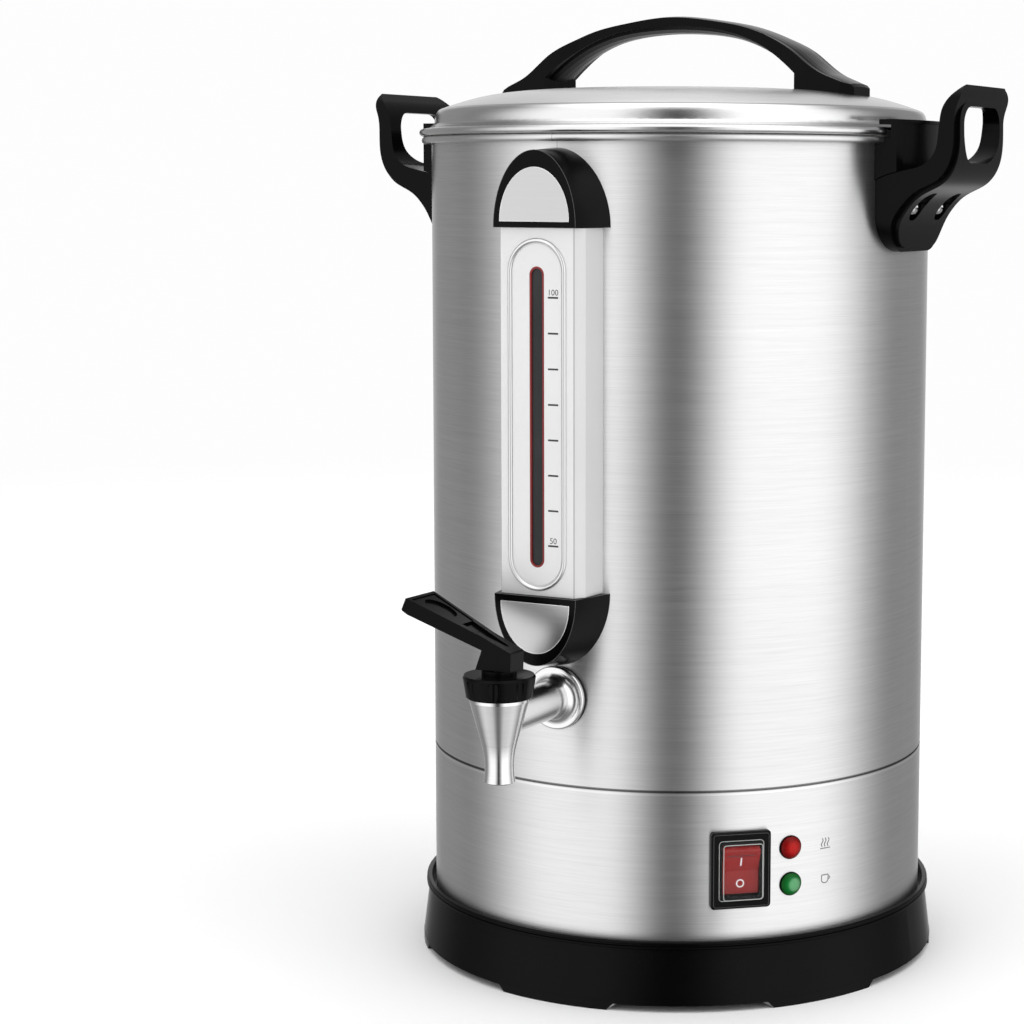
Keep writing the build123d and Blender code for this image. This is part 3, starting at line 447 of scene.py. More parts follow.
def moulded(name, colour, rough, grain=2200.0, depth=6e-6, **more):
    """A moulded finish; `more` holds the shader's other values."""
    finish = new_finish(name)
    place = finish.place()
    pits = finish.noise(place, scale=grain)
    rubbed = finish.noise(place, scale=RUBBED_SCALE, detail=3.0)
    light = tuple(min(1.0, c * RUBBED_LIFT) for c in colour)
    FINISHES[name] = finish.surface(
        base_color=finish.mix(rubbed.ramp(0.3, 0.7), (*colour, 1.0), (*light, 1.0)),
        roughness=rough + (rubbed - 0.5) * RUBBED_ROUGHNESS + (pits - 0.5) * PIT_ROUGHNESS,
        normal=finish.bump(pits, depth),
        **more,
    )


moulded("dark_strip", (0.010, 0.010, 0.011), 0.5)
moulded("black_plastic", (0.0016, 0.0016, 0.0018), 0.22, 2600.0, 2e-6, specular_ior_level=0.075)
moulded("grey_rubber", (0.16, 0.16, 0.16), 0.7, 1500.0, 1e-5)
moulded("black_rubber", (0.006, 0.006, 0.006), 0.6, 1500.0, 1e-5, specular_ior_level=0.3)
moulded("silicone", (0.62, 0.60, 0.57), 0.5, 1500.0, 4e-6)
moulded("nylon", (0.70, 0.68, 0.62), 0.45)
moulded("brass_tabs", (0.60, 0.44, 0.18), 0.3, metallic=1.0)
moulded("wire_sleeve", (0.42, 0.03, 0.02), 0.45)
moulded("gauge_glass", (0.040, 0.040, 0.042), 0.35, depth=0.0, specular_ior_level=0.15)
moulded("red_rocker", (0.27, 0.009, 0.008), 0.24, depth=0.0, specular_ior_level=0.25)
moulded("clear_cover", (0.20, 0.21, 0.21), 0.05, depth=0.0, alpha=0.04, specular_ior_level=0.2)
# clear_edge is a pale, half-clear bead colour: a painted highlight along the cover's edges
moulded("clear_edge", (0.55, 0.57, 0.55), 0.12, depth=0.0, alpha=0.6)
moulded("print_white", (0.85, 0.84, 0.82), 0.5, depth=0.0)
moulded("print_dark", (0.03, 0.03, 0.032), 0.5, depth=0.0)
moulded("print_grey", (0.16, 0.16, 0.165), 0.5, depth=0.0)
moulded("print_red", (0.20, 0.005, 0.006), 0.35, depth=0.0)
moulded("smoked_pane", (0.036, 0.036, 0.038), 0.35, depth=0.0, specular_ior_level=0.15, alpha=0.88)
# black_edge is lighter than black_plastic: beads in it paint highlights along edges
moulded("black_edge", (0.055, 0.055, 0.057), 0.30, depth=0.0, specular_ior_level=0.3)
moulded("bright_edge", (0.80, 0.80, 0.80), 0.25, depth=0.0, metallic=0.6)
print("finishes so far:", len(FINISHES))

# %% [markdown]
# ## The gauge's paint
# The gauge's channel is painted silver. It is folded along upright lines, and its paint carries
# painted shade: a dark line along each fold, and flanks darker than the front. A painted texture would
# need an unwrapped mesh; two ramps on the distance from the middle draw the folds and the flanks as well.

# %% Channel paint
GAUGE_Y = box_mm("gauge_channel")[0].y  # the channel's front
FOLD_X = 21.65
PAINT_TONE = 0.75
# the dark end of the paint: painted shade of folds and flanks, and a little of the cloud
SHADE_AND_CLOUD_TONE = 0.30


def channel_paint(name):
    finish = new_finish(name)
    place = finish.place()
    x, y, _ = finish.xyz(place)
    aside = x.maths("ABSOLUTE")
    front = 1.0 - y.ramp((GAUGE_Y + 0.4) * MM, (GAUGE_Y + 0.8) * MM)
    # painted shade: a dark line along each fold on the front, and darker flanks
    channel_fold_shade = line_at(aside, FOLD_X, 0.08, 0.38) * front
    channel_flank_shade = aside.ramp(FOLD_X * MM, (FOLD_X + 0.3) * MM)
    cloud = finish.noise(place, scale=14.0)
    tone = channel_fold_shade * 0.8 + channel_flank_shade * 0.24 + cloud.ramp(0.2, 0.8) * 0.06
    FINISHES[name] = finish.surface(
        base_color=finish.mix(tone, grey(PAINT_TONE), grey(SHADE_AND_CLOUD_TONE)),
        metallic=0.35,
        roughness=0.30,
    )
    print(name + ": folds", FOLD_X, "mm from the middle")


channel_paint("silver_channel")

# %% [markdown]
# ## The lamp lenses
# The lenses are clear moulded domes over a small lamp. Ribs on the inside break the light into a
# fine mesh, and the colour is deepest at the rim, where the eye looks through most plastic. Real
# glass over a real lamp would be slow and noisy at this size, so the finish draws what is seen: the
# distance from the middle gives the depth of colour, and two crossed waves give the mesh.

# %% Lens finishes
LAMPS = {"red_lens": (52.4, 84.4), "green_lens": (52.5, 64.5)}  # degrees from the tap, height
LENS_R = 5.9
RIB_PITCH = 1.15
SPARK_ASIDE = 0.18  # of the radius
SPARK_EDGE = (0.45, 0.72)


def lens(name, rim, middle, spark, spark_share):
    """A lens from its colours at the rim, in the middle and where the lamp shines through."""
    finish = new_finish(name)
    angle, height = math.radians(LAMPS[name][0]), LAMPS[name][1] * MM
    radius = LENS_R * MM
    x, y, z = finish.xyz(finish.place())
    across = x * math.cos(angle) + y * math.sin(angle)
    up = z - height
    away = (across * across + up * up).maths("SQRT")
    wave = 2 * math.pi / (RIB_PITCH * MM)
    mesh = ((across + up) * wave).maths("SINE") * ((across - up) * wave).maths("SINE") * 0.5 + 0.5
    glow = 1.0 - away.ramp(0.15 * radius, radius)
    beside = ((across - SPARK_ASIDE * radius) ** 2.0 + up * up).maths("SQRT")
    spot = 1.0 - beside.ramp(SPARK_EDGE[0] * radius, SPARK_EDGE[1] * radius)
    lit = spot * mesh.ramp(0.35, 0.85) * spark_share
    depth = finish.mix(glow, (*rim, 1.0), (*middle, 1.0))
    FINISHES[name] = finish.surface(
        base_color=finish.mix(lit, depth, (*spark, 1.0)),
        roughness=0.18,
        specular_ior_level=0.15,
        normal=finish.bump(mesh, 5e-5),
    )
    print(name + ":", LAMPS[name][0], "degrees from the tap,", LAMPS[name][1], "mm up")


lens("red_lens", (0.15, 0.001, 0.001), (0.42, 0.004, 0.004), (0.60, 0.04, 0.03), 0.4)
lens("green_lens", (0.001, 0.085, 0.008), (0.01, 0.24, 0.05), (0.36, 0.66, 0.42), 0.85)

# %% [markdown]
# ## The finishes go on
# Each CAD node names what it is made of in its material slots. The nodes could be painted one at a
# time, but a loop over the slots can't forget one, and it stops if a material has no finish.

# %% Dressing


def dress(node):
    """Puts the finish of each material slot on a CAD node."""
    for slot in node.material_slots:
        slot.material = FINISHES[slot.material.name.split(".")[0]]


for cad_node in frame["nodes"].values():
    dress(cad_node)
print("dressed:", len(frame["nodes"]), "nodes in", len(FINISHES), "finishes")

# %% [markdown]
# ## Fine pieces
# Small beads, printed marks and rows of holes are easier to make as meshes than as solids. Each one
# is built in millimetres with its real place in its vertices, gets a finish, and rides on the body
# that carries it. Most are one section carried round a closed path. Curve objects with a bevel could
# do that, but they can't keep a section upright everywhere, so a path here is a list of frames: a
# centre, the direction outwards and the direction up from what the piece lies on.

# %% Mesh helpers
FRONT = Vector((0, -1, 0))
UP = Vector((0, 0, 1))


def add_piece(name, mesh, finish, body="root"):
    """A finished mesh that moves with a body of the frame."""
    piece = bpy.data.objects.new(name, mesh)
    bpy.context.scene.collection.objects.link(piece)
    mesh.materials.clear()
    mesh.materials.append(FINISHES[finish])
    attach(piece, body)
    return piece


def mesh_from(name, points, faces, smooth=False):
    """A mesh from points in millimetres, with its faces turned outwards."""
    mesh = bpy.data.meshes.new(name)
    mesh.from_pydata([Vector(p) * MM for p in points], [], faces)
    shape = bmesh.new()
    shape.from_mesh(mesh)
    bmesh.ops.recalc_face_normals(shape, faces=shape.faces)
    shape.to_mesh(mesh)
    shape.free()
    mesh.polygons.foreach_set("use_smooth", [smooth] * len(mesh.polygons))
    return mesh


def swept(name, path, section, smooth=True):
    """A section of (out, up) points, carried round the frames of a closed path."""
    points = [centre + out * aside + up * lift for centre, out, up in path for aside, lift in section]
    rows, sides = len(path), len(section)
    faces = []
    for row in range(rows):
        here, ahead = row * sides, (row + 1) % rows * sides
        for side in range(sides):
            beside = (side + 1) % sides
            faces.append((here + side, here + beside, ahead + beside, ahead + side))
    return mesh_from(name, points, faces, smooth)


def filled(name, path, low, high):
    """A flat plate that fills a path, between two distances along its up direction."""
    points = [centre + up * level for level in (low, high) for centre, _, up in path]
    count = len(path)
    sides = [(k, (k + 1) % count, (k + 1) % count + count, k + count) for k in range(count)]
    return mesh_from(name, points, [tuple(range(count)), tuple(range(count, 2 * count))] + sides)


def circle(steps):
    """Equal turns round a full circle."""
    return [2 * math.pi * k / steps for k in range(steps)]


def round_section(radius):
    return [(radius * math.cos(turn), radius * math.sin(turn)) for turn in circle(8)]


# %% [markdown]
# ## The sight gauge
# A raised bead frames the scale plate, and a thin red line is printed round the slot so that the
# level in the dark tube stands out. A bevel along the plate's edge would have no flat foot, so the
# bead is a half-round section that is carried round a slot-shaped path: two half circles and the
# straights between them. The same path, drawn smaller, makes the red lining and the smoked pane.

# %% Bezel, lining and pane
ARC_STEPS = 28
BEZEL_BEAD = (2.4, 1.25)  # width and rise
BEZEL_INSET = 1.15  # from the CAD bezel's edge to the bead's middle
SLOT_HALF = 3.9
SLOT_SPAN = (236.9, 391.4)
LINING = [(-0.60, -0.9), (-0.60, 0.05), (0.42, 0.05), (0.42, -0.05), (0.0, -0.05), (0.0, -0.9)]
LINING_INSET = 0.05
PANE_INSET = 0.6
PANE_DEPTHS = (-0.95, -0.75)


def slot_path(half, low, high, face_y):
    """Frames round an upright slot."""
    turns = [math.pi * k / ARC_STEPS for k in range(ARC_STEPS + 1)]
    ends = [(high - half, turn) for turn in turns] + [(low + half, turn + math.pi) for turn in turns]
    path = []
    for middle, turn in ends:
        out = Vector((math.cos(turn), 0, math.sin(turn)))
        path.append((Vector((0, face_y, middle)) + out * half, out, FRONT))
    return path


def half_round(width, rise, steps=10, sink=0.1):
    """Half-round section with its flat side a little under the surface."""
    arc = [math.pi * k / steps for k in range(1, steps)]
    crown = [(-0.5 * width * math.cos(a), rise * math.sin(a)) for a in arc]
    return [(-0.5 * width, -sink)] + crown + [(0.5 * width, -sink)]


def inset_slot(inset, face_y):
    return slot_path(SLOT_HALF - inset, SLOT_SPAN[0] + inset, SLOT_SPAN[1] - inset, face_y)


bezel_low, bezel_high = box_mm("gauge_bezel")
bezel_path = slot_path(
    bezel_high.x - BEZEL_INSET, bezel_low.z + BEZEL_INSET, bezel_high.z - BEZEL_INSET, GAUGE_Y
)
bezel_mesh = swept("bezel_bead", bezel_path, half_round(*BEZEL_BEAD))
bezel = add_piece("bezel_bead", bezel_mesh, "satin_bead")
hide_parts("gauge_bezel")
lining_mesh = swept("slot_lining", inset_slot(LINING_INSET, GAUGE_Y - 0.1), LINING, smooth=False)
add_piece("slot_lining", lining_mesh, "print_red")
pane_mesh = filled("slot_pane", inset_slot(PANE_INSET, GAUGE_Y), *PANE_DEPTHS)
add_piece("slot_pane", pane_mesh, "smoked_pane")
print("bezel bead:", len(bezel_mesh.polygons), "faces")

# %% [markdown]
# ## Edges of the end caps
# The end caps are black mouldings with a satin plate let into the front. A bright turned edge runs
# round each plate, and a painted highlight runs along the caps' own front edges: a bead in a grey
# lighter than the cap. A bevel would have to be cut in the solids; a thin bead along each edge
# catches the light in the same way. It follows the arch: half an ellipse, and the straight foot under it.

# %% Edges of the end caps
CAP_FACE_Y = box_mm("gauge_cap_top")[0].y
CAP_HALF = 24.1
INSERT_HALF = 20.3
CAPS = {  # foot; then the cap's rise, its plate's foot above it and the plate's rise
    "top": (box_mm("gauge_cap_top")[0].z, 39.2, 3.1, 27.4),
    "bottom": (box_mm("gauge_cap_bottom")[1].z, -36.2, -3.5, -26.3),
}
PLATE_BEAD = (0.22, -0.15)  # radius, and its middle behind the caps' face
# a bead lighter than the cap along its front edge: a painted highlight
CAP_EDGE_HIGHLIGHT = (0.18, 0.08)
ARCH_STEPS = 40
CORNER_OUT = 0.7  # share of the section's offset along each axis at the corners of the foot


def arch_path(half, foot, rise, face_y):
    """Frames round half an ellipse that stands on its foot, or hangs from it."""
    grow = math.copysign(1.0, rise)
    path = []
    for k in range(1, ARCH_STEPS):
        turn = math.pi * k / ARCH_STEPS
        centre = Vector((half * math.cos(turn), face_y, foot + rise * math.sin(turn)))
        out = Vector((abs(rise) * math.cos(turn), 0, half * math.sin(turn) * grow)).normalized()
        path.append((centre, out, FRONT))
    for side in (-1, 1):
        out = Vector((side, 0, -grow)) * CORNER_OUT
        path.append((Vector((side * half, face_y, foot)), out, FRONT))
    return path


def arch_bead(name, half, foot, rise, bead):
    radius, behind = bead
    path = arch_path(half, foot, rise, CAP_FACE_Y + behind)
    return swept(name, path, round_section(radius))


for end, (foot, rise, insert_foot, insert_rise) in CAPS.items():
    name = "plate_edge_" + end
    plate_edge = arch_bead(name, INSERT_HALF, foot + insert_foot, insert_rise, PLATE_BEAD)
    add_piece(name, plate_edge, "bright_edge")
    # the cap's edge bead is black_edge, lighter than the cap: a painted highlight
    name = "cap_edge_" + end
    add_piece(name, arch_bead(name, CAP_HALF, foot, rise, CAP_EDGE_HIGHLIGHT), "black_edge")
print("cap edges:", 2 * len(CAPS))

# %% [markdown]
# ## Shapes that grow
# What repeats or follows a rule is made by Geometry Nodes. The copies could be made by a loop in
# Python, but a node tree keeps the rule in one place where it can be seen and changed. `Grower`
# builds such a tree with named inputs, and `grown` turns its result into a plain mesh.

# %% Grower


class Grower(Tree):
    """A Geometry Nodes tree that ends as real geometry with its finish."""

    def __init__(self, name, **sockets):
        super().__init__(bpy.data.node_groups.new(name, "GeometryNodeTree"))
        face = self.data.interface
        for socket, kind in sockets.items():
            face.new_socket(socket, in_out="INPUT", socket_type="NodeSocket" + kind)
        face.new_socket("Geometry", in_out="OUTPUT", socket_type="NodeSocketGeometry")
        self.entry = self.data.nodes.new("NodeGroupInput")

    def given(self, name):
        """One of the tree's inputs."""
        return Value(self, self.entry.outputs[name])

    def ended(self, shape):
        """The finished tree."""
        real = self.node("GeometryNodeRealizeInstances", inputs={"Geometry": shape})
        paint = {"Geometry": real, "Material": self.given("Finish")}
        painted = self.node("GeometryNodeSetMaterial", inputs=paint)
        self.node("NodeGroupOutput", inputs={"Geometry": painted})
        return self.data


def grown(name, start, tree, **settings):
    """What a tree makes of a start mesh, as a plain mesh."""
    holder = bpy.data.objects.new(name + "_start", start)
    bpy.context.scene.collection.objects.link(holder)
    modifier = holder.modifiers.new("grow", "NODES")
    modifier.node_group = tree
    keys = {socket.name: socket.identifier for socket in tree.interface.items_tree}
    for socket, setting in settings.items():
        modifier[keys[socket]] = setting
    seen = bpy.context.evaluated_depsgraph_get()
    mesh = bpy.data.meshes.new_from_object(holder.evaluated_get(seen))
    mesh.name = name
    bpy.data.objects.remove(holder)
    print(name + ":", len(mesh.polygons), "faces")
    return mesh


# %% [markdown]
# The marks of the scale, the holes in the basket's floor and the handle bolts are each one small
# shape at many places. One tree serves them all: it puts a copy of the unit on every point of a bare
# mesh and turns it by the point's own angle.

# %% Repeat tree


def repeat_tree():
    grower = Grower("repeat_unit", Places="Geometry", Unit="Object", Finish="Material")
    unit = grower.node("GeometryNodeObjectInfo", inputs={"Object": grower.given("Unit")}, output="Geometry")
    turn = grower.node("GeometryNodeInputNamedAttribute", {"data_type": "FLOAT"}, {"Name": "turn"})
    spin = grower.node("ShaderNodeCombineXYZ", inputs={"Z": turn})
    copies = {"Points": grower.given("Places"), "Instance": unit, "Rotation": spin}
    return grower.ended(grower.node("GeometryNodeInstanceOnPoints", inputs=copies))


REPEAT = repeat_tree()


def repeated(name, unit_mesh, places, finish, body="root", turns=None):
    """Copies of a unit mesh at every place, as one plain mesh that rides on a body."""
    unit = bpy.data.objects.new(name + "_unit", unit_mesh)
    bpy.context.scene.collection.objects.link(unit)
    points = bpy.data.meshes.new(name + "_places")
    points.from_pydata([Vector(p) * MM for p in places], [], [])
    turn = points.attributes.new("turn", "FLOAT", "POINT")
    turn.data.foreach_set("value", turns or [0.0] * len(places))
    mesh = grown(name, points, REPEAT, Unit=unit, Finish=FINISHES[finish])
    bpy.data.objects.remove(unit)
    return add_piece(name, mesh, finish, body)


# %% [markdown]
# ## The scale
# The scale is printed on the plate: eight strokes and a number at either end. As an image it would
# blur in a close view, so the strokes are thin bars and the numbers are lettering made a mesh.

# %% Marks of the scale
PRINT_Y = GAUGE_Y - 0.1
TICK_COUNT = 8
TICK_TOP = 376.0
TICK_STEP = 18.25
TICK_BAR = (6.1, 0.95, 0.2, 0.04)  # width, height, corner and half its depth
TICK_X = 9.55


def bar(width, height, corner, half_depth):
    """A small upright bar about the origin with its four corners cut."""
    w, h = 0.5 * width, 0.5 * height
    ring = [
        (-w + corner, -h), (w - corner, -h), (w, -h + corner), (w, h - corner),
        (w - corner, h), (-w + corner, h), (-w, h - corner), (-w, -h + corner),
    ]
    path = [(Vector((x, 0, z)), None, FRONT) for x, z in ring]
    return filled("bar", path, half_depth, -half_depth)


tick_heights = [TICK_TOP - k * TICK_STEP for k in range(TICK_COUNT)]
tick_places = [(TICK_X, PRINT_Y, z) for z in tick_heights]
repeated("scale_marks", bar(*TICK_BAR), tick_places, "print_dark")

# %% Numbers of the scale
NUMBER_SIZE = 4.3
NUMBER_ABOVE = 1.2  # its foot above the stroke
NUMBER_HALF = 0.03  # half its depth


def number(text, height):
    """Flat lettering made a mesh, then put on the plate point by point."""
    name = "number_" + text
    curve = bpy.data.curves.new(name, "FONT")
    curve.body = text
    curve.size = NUMBER_SIZE * MM
    curve.align_x = "CENTER"
    curve.extrude = NUMBER_HALF * MM
    words = bpy.data.objects.new(name, curve)
    mesh = bpy.data.meshes.new_from_object(words)
    mesh.name = name
    bpy.data.objects.remove(words)
    foot = Vector((TICK_X, PRINT_Y, height + NUMBER_ABOVE)) * MM
    for vertex in mesh.vertices:
        across, up, out = vertex.co
        vertex.co = foot + Vector((across, -out, up))
    add_piece(name, mesh, "print_dark")
    print(name + ":", len(mesh.polygons), "faces")


number("100", tick_heights[0])
number("50", tick_heights[-1])

# %% [markdown]
# ## The basket's floor
# The coffee lies on a perforated floor. Only the coarse holes that carry flow are cut in the solid.
# Hundreds of fine ones would make it very heavy, so each is shown by its raised rim, a low ring with
# eight sides that lies on the sheet. They stand in rings and keep clear of the coarse holes.

# %% Fine perforation
HOLE_PITCH = 5
HOLE_RINGS = range(14, 128, HOLE_PITCH)
COARSE_RINGS = (24, 44, 64, 84, 104, 120)
COARSE_CLEAR = 2.4
SHEET_TOP = box_mm("basket")[0].z + 0.7
RIM_R = 0.85
RIM_SECTION = [(0.0, 0.0), (0.18, 0.12), (0.36, 0.0)]


def around(turn):
    """The direction of a turn about the urn's axis."""
    return Vector((math.cos(turn), math.sin(turn), 0))


rim_path = [(around(turn) * RIM_R, around(turn), UP) for turn in circle(8)]
hole_rim = swept("hole_rim", rim_path, RIM_SECTION, smooth=False)
holes = []
for radius in HOLE_RINGS:
    if min(abs(radius - coarse) for coarse in COARSE_RINGS) > COARSE_CLEAR:
        for turn in circle(int(2 * math.pi * radius / HOLE_PITCH)):
            holes.append(around(turn) * radius + UP * SHEET_TOP)
repeated("basket_perforation", hole_rim, holes, "satin_steel", "basket")
print("fine holes:", len(holes))

# %% [markdown]
# ## The switch and its cover
# A splash cover of clear plastic stands over the rocker. What the eye sees of it is its edges, which
# catch the light. Refraction would show them only after many samples, so they get thin pale beads of
# their own, and the edges of the black frame get grey ones: both are painted highlights.

# %% Edges of the cover and frame
SWITCH_TURN = math.radians(40.7)
SWITCH_Z = sum(corner.z for corner in box_mm("switch_frame")) / 2
ACROSS_SWITCH = Vector((math.cos(SWITCH_TURN), math.sin(SWITCH_TURN), 0))
OUT_OF_SWITCH = Vector((math.sin(SWITCH_TURN), -math.cos(SWITCH_TURN), 0))
COVER_HIGHLIGHT_BEADS = [  # half width, half height, corner, distance from the drum and radius
    (10.6, 14.8, 1.5, 6.9, 0.22),
    (12.1, 16.1, 1.9, 3.1, 0.20),
]
FRAME_HIGHLIGHT_BEADS = [
    (15.0, 19.45, 1.2, 2.95, 0.14),
    (16.28, 20.73, 2.0, 1.7, 0.12),
]


def on_switch(x, y, out):
    """A point at the switch: across and up from its middle, and out from the drum."""
    return ACROSS_SWITCH * x + UP * (SWITCH_Z + y) + OUT_OF_SWITCH * (DRUM_R + out)


def round_rectangle(half_x, half_y, corner, out):
    """Frames round a rectangle with round corners, in front of the switch."""
    path = []
    for first, side_x, side_y in ((0, 1, 1), (90, -1, 1), (180, -1, -1), (270, 1, -1)):
        middle = on_switch(side_x * (half_x - corner), side_y * (half_y - corner), out)
        for step in range(0, 91, 15):
            angle = math.radians(first + step)
            aside = ACROSS_SWITCH * math.cos(angle) + UP * math.sin(angle)
            path.append((middle + aside * corner, aside, OUT_OF_SWITCH))
    return path


def joined(name, meshes):
    """Several meshes as one."""
    shape = bmesh.new()
    for mesh in meshes:
        shape.from_mesh(mesh)
        bpy.data.meshes.remove(mesh)
    whole = bpy.data.meshes.new(name)
    shape.to_mesh(whole)
    shape.free()
    return whole


def switch_edges(name, beads, finish):
    edges = [swept(name, round_rectangle(*place), round_section(radius)) for *place, radius in beads]
    add_piece(name, joined(name, edges), finish)
    print(name + ":", len(beads), "beads")


# pale beads on the cover's edges and grey beads on the frame's: painted highlights
switch_edges("cover_edges", COVER_HIGHLIGHT_BEADS, "clear_edge")
switch_edges("switch_frame_edges", FRAME_HIGHLIGHT_BEADS, "black_edge")

# %% [markdown]
# The rocker carries the usual marks, a stroke for on and a ring for off, and a dark line near its
# upper edge, which is painted shade of the fold between its top and its face. Its face is bent, and it
# stands tilted on its pivot. A mark that is pressed on by a modifier would need a copy of that face,
# so `on_rocker` works out its plane from the two angles.

# %% Marks of the rocker
PIVOT_OUT = -4.0  # from the drum's surface
ROCKER_TILT = math.radians(10.0)
ROCKER_RISE = math.radians(9.6)  # each half of the rocker's face rises towards its end
ROCKER_NECK = 4.6
ROCKER_BARS = {  # width, height and middle on the upper half, and finish
    "on_mark": (0.8, 5.0, 5.7, "print_white"),
    "grip_line": (15.4, 0.4, 9.4, "print_dark"),
# a dark line across the upper end: painted shade of the fold between the rocker's top and its face
}
ROCKER_MARK = (0.15, 0.05)  # corner and half depth of a bar
OFF_RING = (1.9, 6.8)  # radius, and middle on the lower half
OFF_SECTION = [(-0.35, -0.03), (-0.35, 0.05), (0.35, 0.05), (0.35, -0.03)]


def on_rocker(half, x, along, lift):
    """A point on the rocker's face: half is 1 for its upper half and -1 for its lower one."""
    y = half * along * math.cos(ROCKER_RISE) - half * lift * math.sin(ROCKER_RISE)
    z = ROCKER_NECK + along * math.sin(ROCKER_RISE) + lift * math.cos(ROCKER_RISE)
    up = y * math.cos(ROCKER_TILT) - z * math.sin(ROCKER_TILT)
    out = y * math.sin(ROCKER_TILT) + z * math.cos(ROCKER_TILT)
    return on_switch(x, up, PIVOT_OUT + out)


def ring_path(radius, along):
    """Frames round a ring on the lower half."""
    middle = on_rocker(-1, 0, along, 0)
    across = on_rocker(-1, 1, along, 0) - middle
    down = on_rocker(-1, 0, along + 1, 0) - middle
    lift = on_rocker(-1, 0, along, 1) - middle
    outs = [across * math.cos(turn) + down * math.sin(turn) for turn in circle(24)]
    return [(middle + out * radius, out, lift) for out in outs]


off_mark = swept("off_mark", ring_path(*OFF_RING), OFF_SECTION, smooth=False)
add_piece("off_mark", off_mark, "print_white", "rocker")
for name, (width, height, middle, finish) in ROCKER_BARS.items():
    mark = bar(width, height, *ROCKER_MARK)
    for vertex in mark.vertices:
        x, lift, along = vertex.co / MM
        vertex.co = on_rocker(1, x, middle + along, -lift) * MM
    add_piece(name, mark, finish, "rocker")
print("rocker marks:", 1 + len(ROCKER_BARS))

# %% [markdown]
# ## Marks beside the lamps
# A small printed sign tells what each lamp means: rising heat beside the upper one, a cup beside the
# lower one. A sign is a few strokes. A decal image would need an unwrapped drum, so each stroke is a
# thin ribbon: its points are given flat, in millimetres, and wrapped round the wall.

# %% Lamp signs
SIGN_TURN = math.radians(61.5)  # from the tap
STROKE_WIDTH = 0.55
STROKE_LIFTS = (-0.05, 0.05)
HEAT_WAVE = 4.6  # height of one wave
HEAT_SWAY = 0.55
CUP_HALF = 2.2


def on_drum(height, u, v, lift):
    """A point on the drum: u and v from the middle of a sign, and out from the wall."""
    angle = SIGN_TURN + u / DRUM_R
    radius = DRUM_R + lift
    return Vector((radius * math.sin(angle), -radius * math.cos(angle), height + v))


def ribbon(name, height, line):
    """One stroke on the drum through the points of a line."""
    points, faces = [], []
    for k, (u, v) in enumerate(line):
        before, after = line[max(k - 1, 0)], line[min(k + 1, len(line) - 1)]
        du, dv = after[0] - before[0], after[1] - before[1]
        half = 0.5 * STROKE_WIDTH / math.hypot(du, dv)
        for lift in STROKE_LIFTS:
            for side in (half, -half):
                points.append(on_drum(height, u - side * dv, v + side * du, lift))
    for k in range(len(line) - 1):
        a, b = 4 * k, 4 * k + 4
        faces += [(a, b, b + 1, a + 1), (a + 2, a + 3, b + 3, b + 2)]
        faces += [(a, a + 2, b + 2, b), (a + 1, b + 1, b + 3, a + 3)]
    last = 4 * len(line) - 4
    faces += [(0, 1, 3, 2), (last, last + 2, last + 3, last + 1)]
    return mesh_from(name, points, faces)


def wavy(u, steps=12):
    heights = [HEAT_WAVE * (k / steps - 0.5) for k in range(steps + 1)]
    return [(u + HEAT_SWAY * math.sin(2 * math.pi * v / HEAT_WAVE), v) for v in heights]


def cup_bowl(low, high, steps=10):
    turns = [math.pi + math.pi * k / steps for k in range(steps + 1)]
    bowl = [(CUP_HALF * math.cos(t), low + 0.8 * CUP_HALF * (1 + math.sin(t))) for t in turns]
    return [(-CUP_HALF, high)] + bowl + [(CUP_HALF, high)]


def cup_ear(steps=8):
    shares = [k / steps for k in range(steps + 1)]
    return [(CUP_HALF + 1.1 * math.sin(math.pi * share), 1.2 - 2.0 * share) for share in shares]


SIGNS = {  # height of the middle, and its strokes
    "heat_sign": (84.2, [wavy(-2.0), wavy(0.0), wavy(2.0), [(-3.4, -3.2), (3.4, -3.2)]]),
    "cup_sign": (64.3, [cup_bowl(-2.4, 2.0), [(-CUP_HALF, 2.0), (CUP_HALF, 2.0)], cup_ear()]),
}
for sign, (height, lines) in SIGNS.items():
    strokes = [ribbon(sign, height, line) for line in lines]
    add_piece(sign, joined(sign, strokes), "print_grey")
    print(sign + ":", len(lines), "strokes")

# %% [markdown]
# ## Handle bolts
# Two pan-head bolts hold each side handle, deep in its pockets, each with a washer and a short
# collar under its head. Four bolts could be modelled one by one, but one that is turned from its
# outline and set at each pocket by the repeat tree is enough. A hollow for the driver closes its
# crown.

# %% Bolts
BOLT_Z = sum(corner.z for corner in box_mm("handle_bolts")) / 2
WASHER_R = 4.6
BOLT_ACROSS = box_mm("handle_bolts")[1].y - WASHER_R
BOLT_SEAT = 143.0  # the washer's foot from the urn's axis
BOLT_OUTLINE = (  # distance along the bolt and radius
    (-1.6, 2.0), (0.0, 2.0), (0.0, WASHER_R), (0.9, WASHER_R), (1.1, 4.4), (1.1, 3.1),
    (2.6, 3.1), (2.6, 4.0), (3.0, 4.2), (5.2, 4.2), (6.5, 3.7), (7.4, 2.7), (7.8, 1.3),
)
RECESS_FLOOR = 6.0
BOLT_SIDES = 32


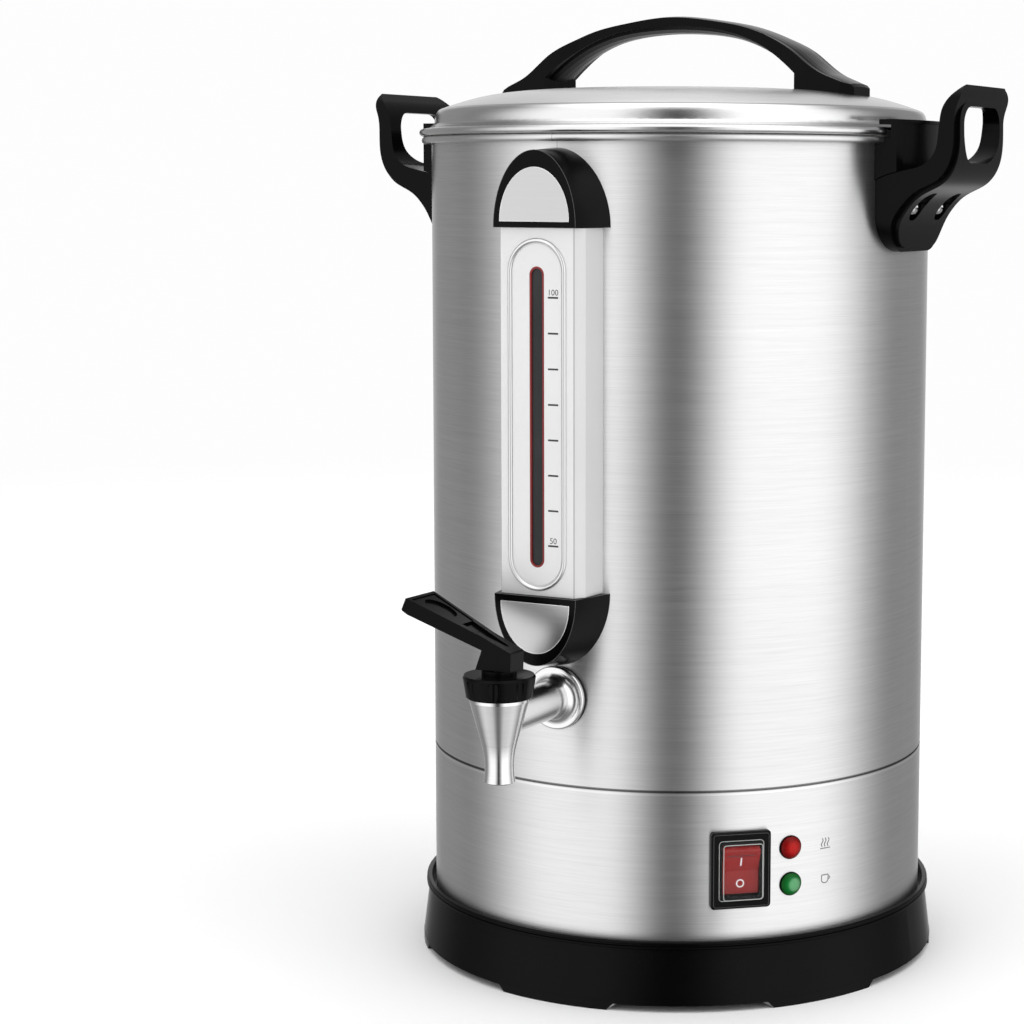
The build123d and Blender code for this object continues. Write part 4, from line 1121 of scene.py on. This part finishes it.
def bolt_mesh():
    """A bolt that points to +X from its seat, closed at its crown by the driver's hollow."""
    points = [(BOLT_OUTLINE[0][0], 0, 0)]
    for along, radius in BOLT_OUTLINE:
        points += [(along, radius * math.cos(turn), radius * math.sin(turn)) for turn in circle(BOLT_SIDES)]
    points.append((RECESS_FLOOR, 0, 0))
    floor = len(points) - 1
    crown = floor - BOLT_SIDES
    faces = []
    for k in range(BOLT_SIDES):
        ahead = (k + 1) % BOLT_SIDES
        faces.append((0, 1 + ahead, 1 + k))
        for a in range(1, crown, BOLT_SIDES):
            b = a + BOLT_SIDES
            faces.append((a + k, a + ahead, b + ahead, b + k))
        faces.append((crown + k, crown + ahead, floor))
    return mesh_from("bolt", points, faces)


bolt_places, bolt_turns = [], []
for side, turn in ((1, 0.0), (-1, math.pi)):
    for across in (BOLT_ACROSS, -BOLT_ACROSS):
        bolt_places.append((side * BOLT_SEAT, across, BOLT_Z))
        bolt_turns.append(turn)
bolts = repeated(
    "handle_bolts_fine", bolt_mesh(), bolt_places, "screw_steel", turns=bolt_turns
)
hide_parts("handle_bolts")

# %% [markdown]
# ## Springs
# Two springs are pressed together as the urn is used: the one over the tap's seat cup, and the one
# under the spreader plate. A stiff solid can't follow that. A spring could be driven coil by coil,
# but these are small and hidden, so each is made again as a wire along a spiral, as tall as the
# CAD node it stands in for.

# %% Spring tree
SPRING_STEPS = 40  # points on one turn
WIRE_SIDES = 12


def spring_tree():
    grower = Grower(
        "spring_wire", Turns="Float", Radius="Float", Rise="Float", Wire="Float", Finish="Material"
    )
    spiral = {
        "Resolution": SPRING_STEPS,
        "Rotations": grower.given("Turns"),
        "Start Radius": grower.given("Radius"),
        "End Radius": grower.given("Radius"),
        "Height": grower.given("Rise"),
    }
    section = {"Resolution": WIRE_SIDES, "Radius": grower.given("Wire")}
    tube = {
        "Curve": grower.node("GeometryNodeCurveSpiral", inputs=spiral),
        "Profile Curve": grower.node("GeometryNodeCurvePrimitiveCircle", inputs=section),
        "Fill Caps": True,
    }
    return grower.ended(grower.node("GeometryNodeCurveToMesh", inputs=tube))


SPRING = spring_tree()

# %% Springs
LOW, HIGH = 0, 1
SPRINGS = {  # wire's radius, turns and body; the joint that presses it, its travel and the fixed end
    "tap_spring": (0.7, 4.0, "root", "stem_lift", 4.5, HIGH),
    "spreader_spring": (0.8, 5.0, "basket", "spreader_press", 5.0, LOW),
}


def spring(node, wire, turns, body, joint, travel, fixed):
    """A wire spring in the place of a CAD node; joint, travel and fixed are not used."""
    low, high = box_mm(node)
    middle = (low + high) / 2
    height = high.z - low.z
    mesh = grown(
        node + "_wire",
        bpy.data.meshes.new(node + "_start"),
        SPRING,
        Turns=turns,
        Radius=(high.y - middle.y - wire) * MM,
        Rise=(height - 2 * wire) * MM,
        Wire=wire * MM,
        Finish=FINISHES["spring_steel"],
    )
    mesh.transform(Matrix.Translation(Vector((middle.x, middle.y, low.z + wire)) * MM))
    piece = add_piece(node + "_wire", mesh, "spring_steel", body)
    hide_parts(node)
    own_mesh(piece)


for node, numbers in SPRINGS.items():
    spring(node, *numbers)
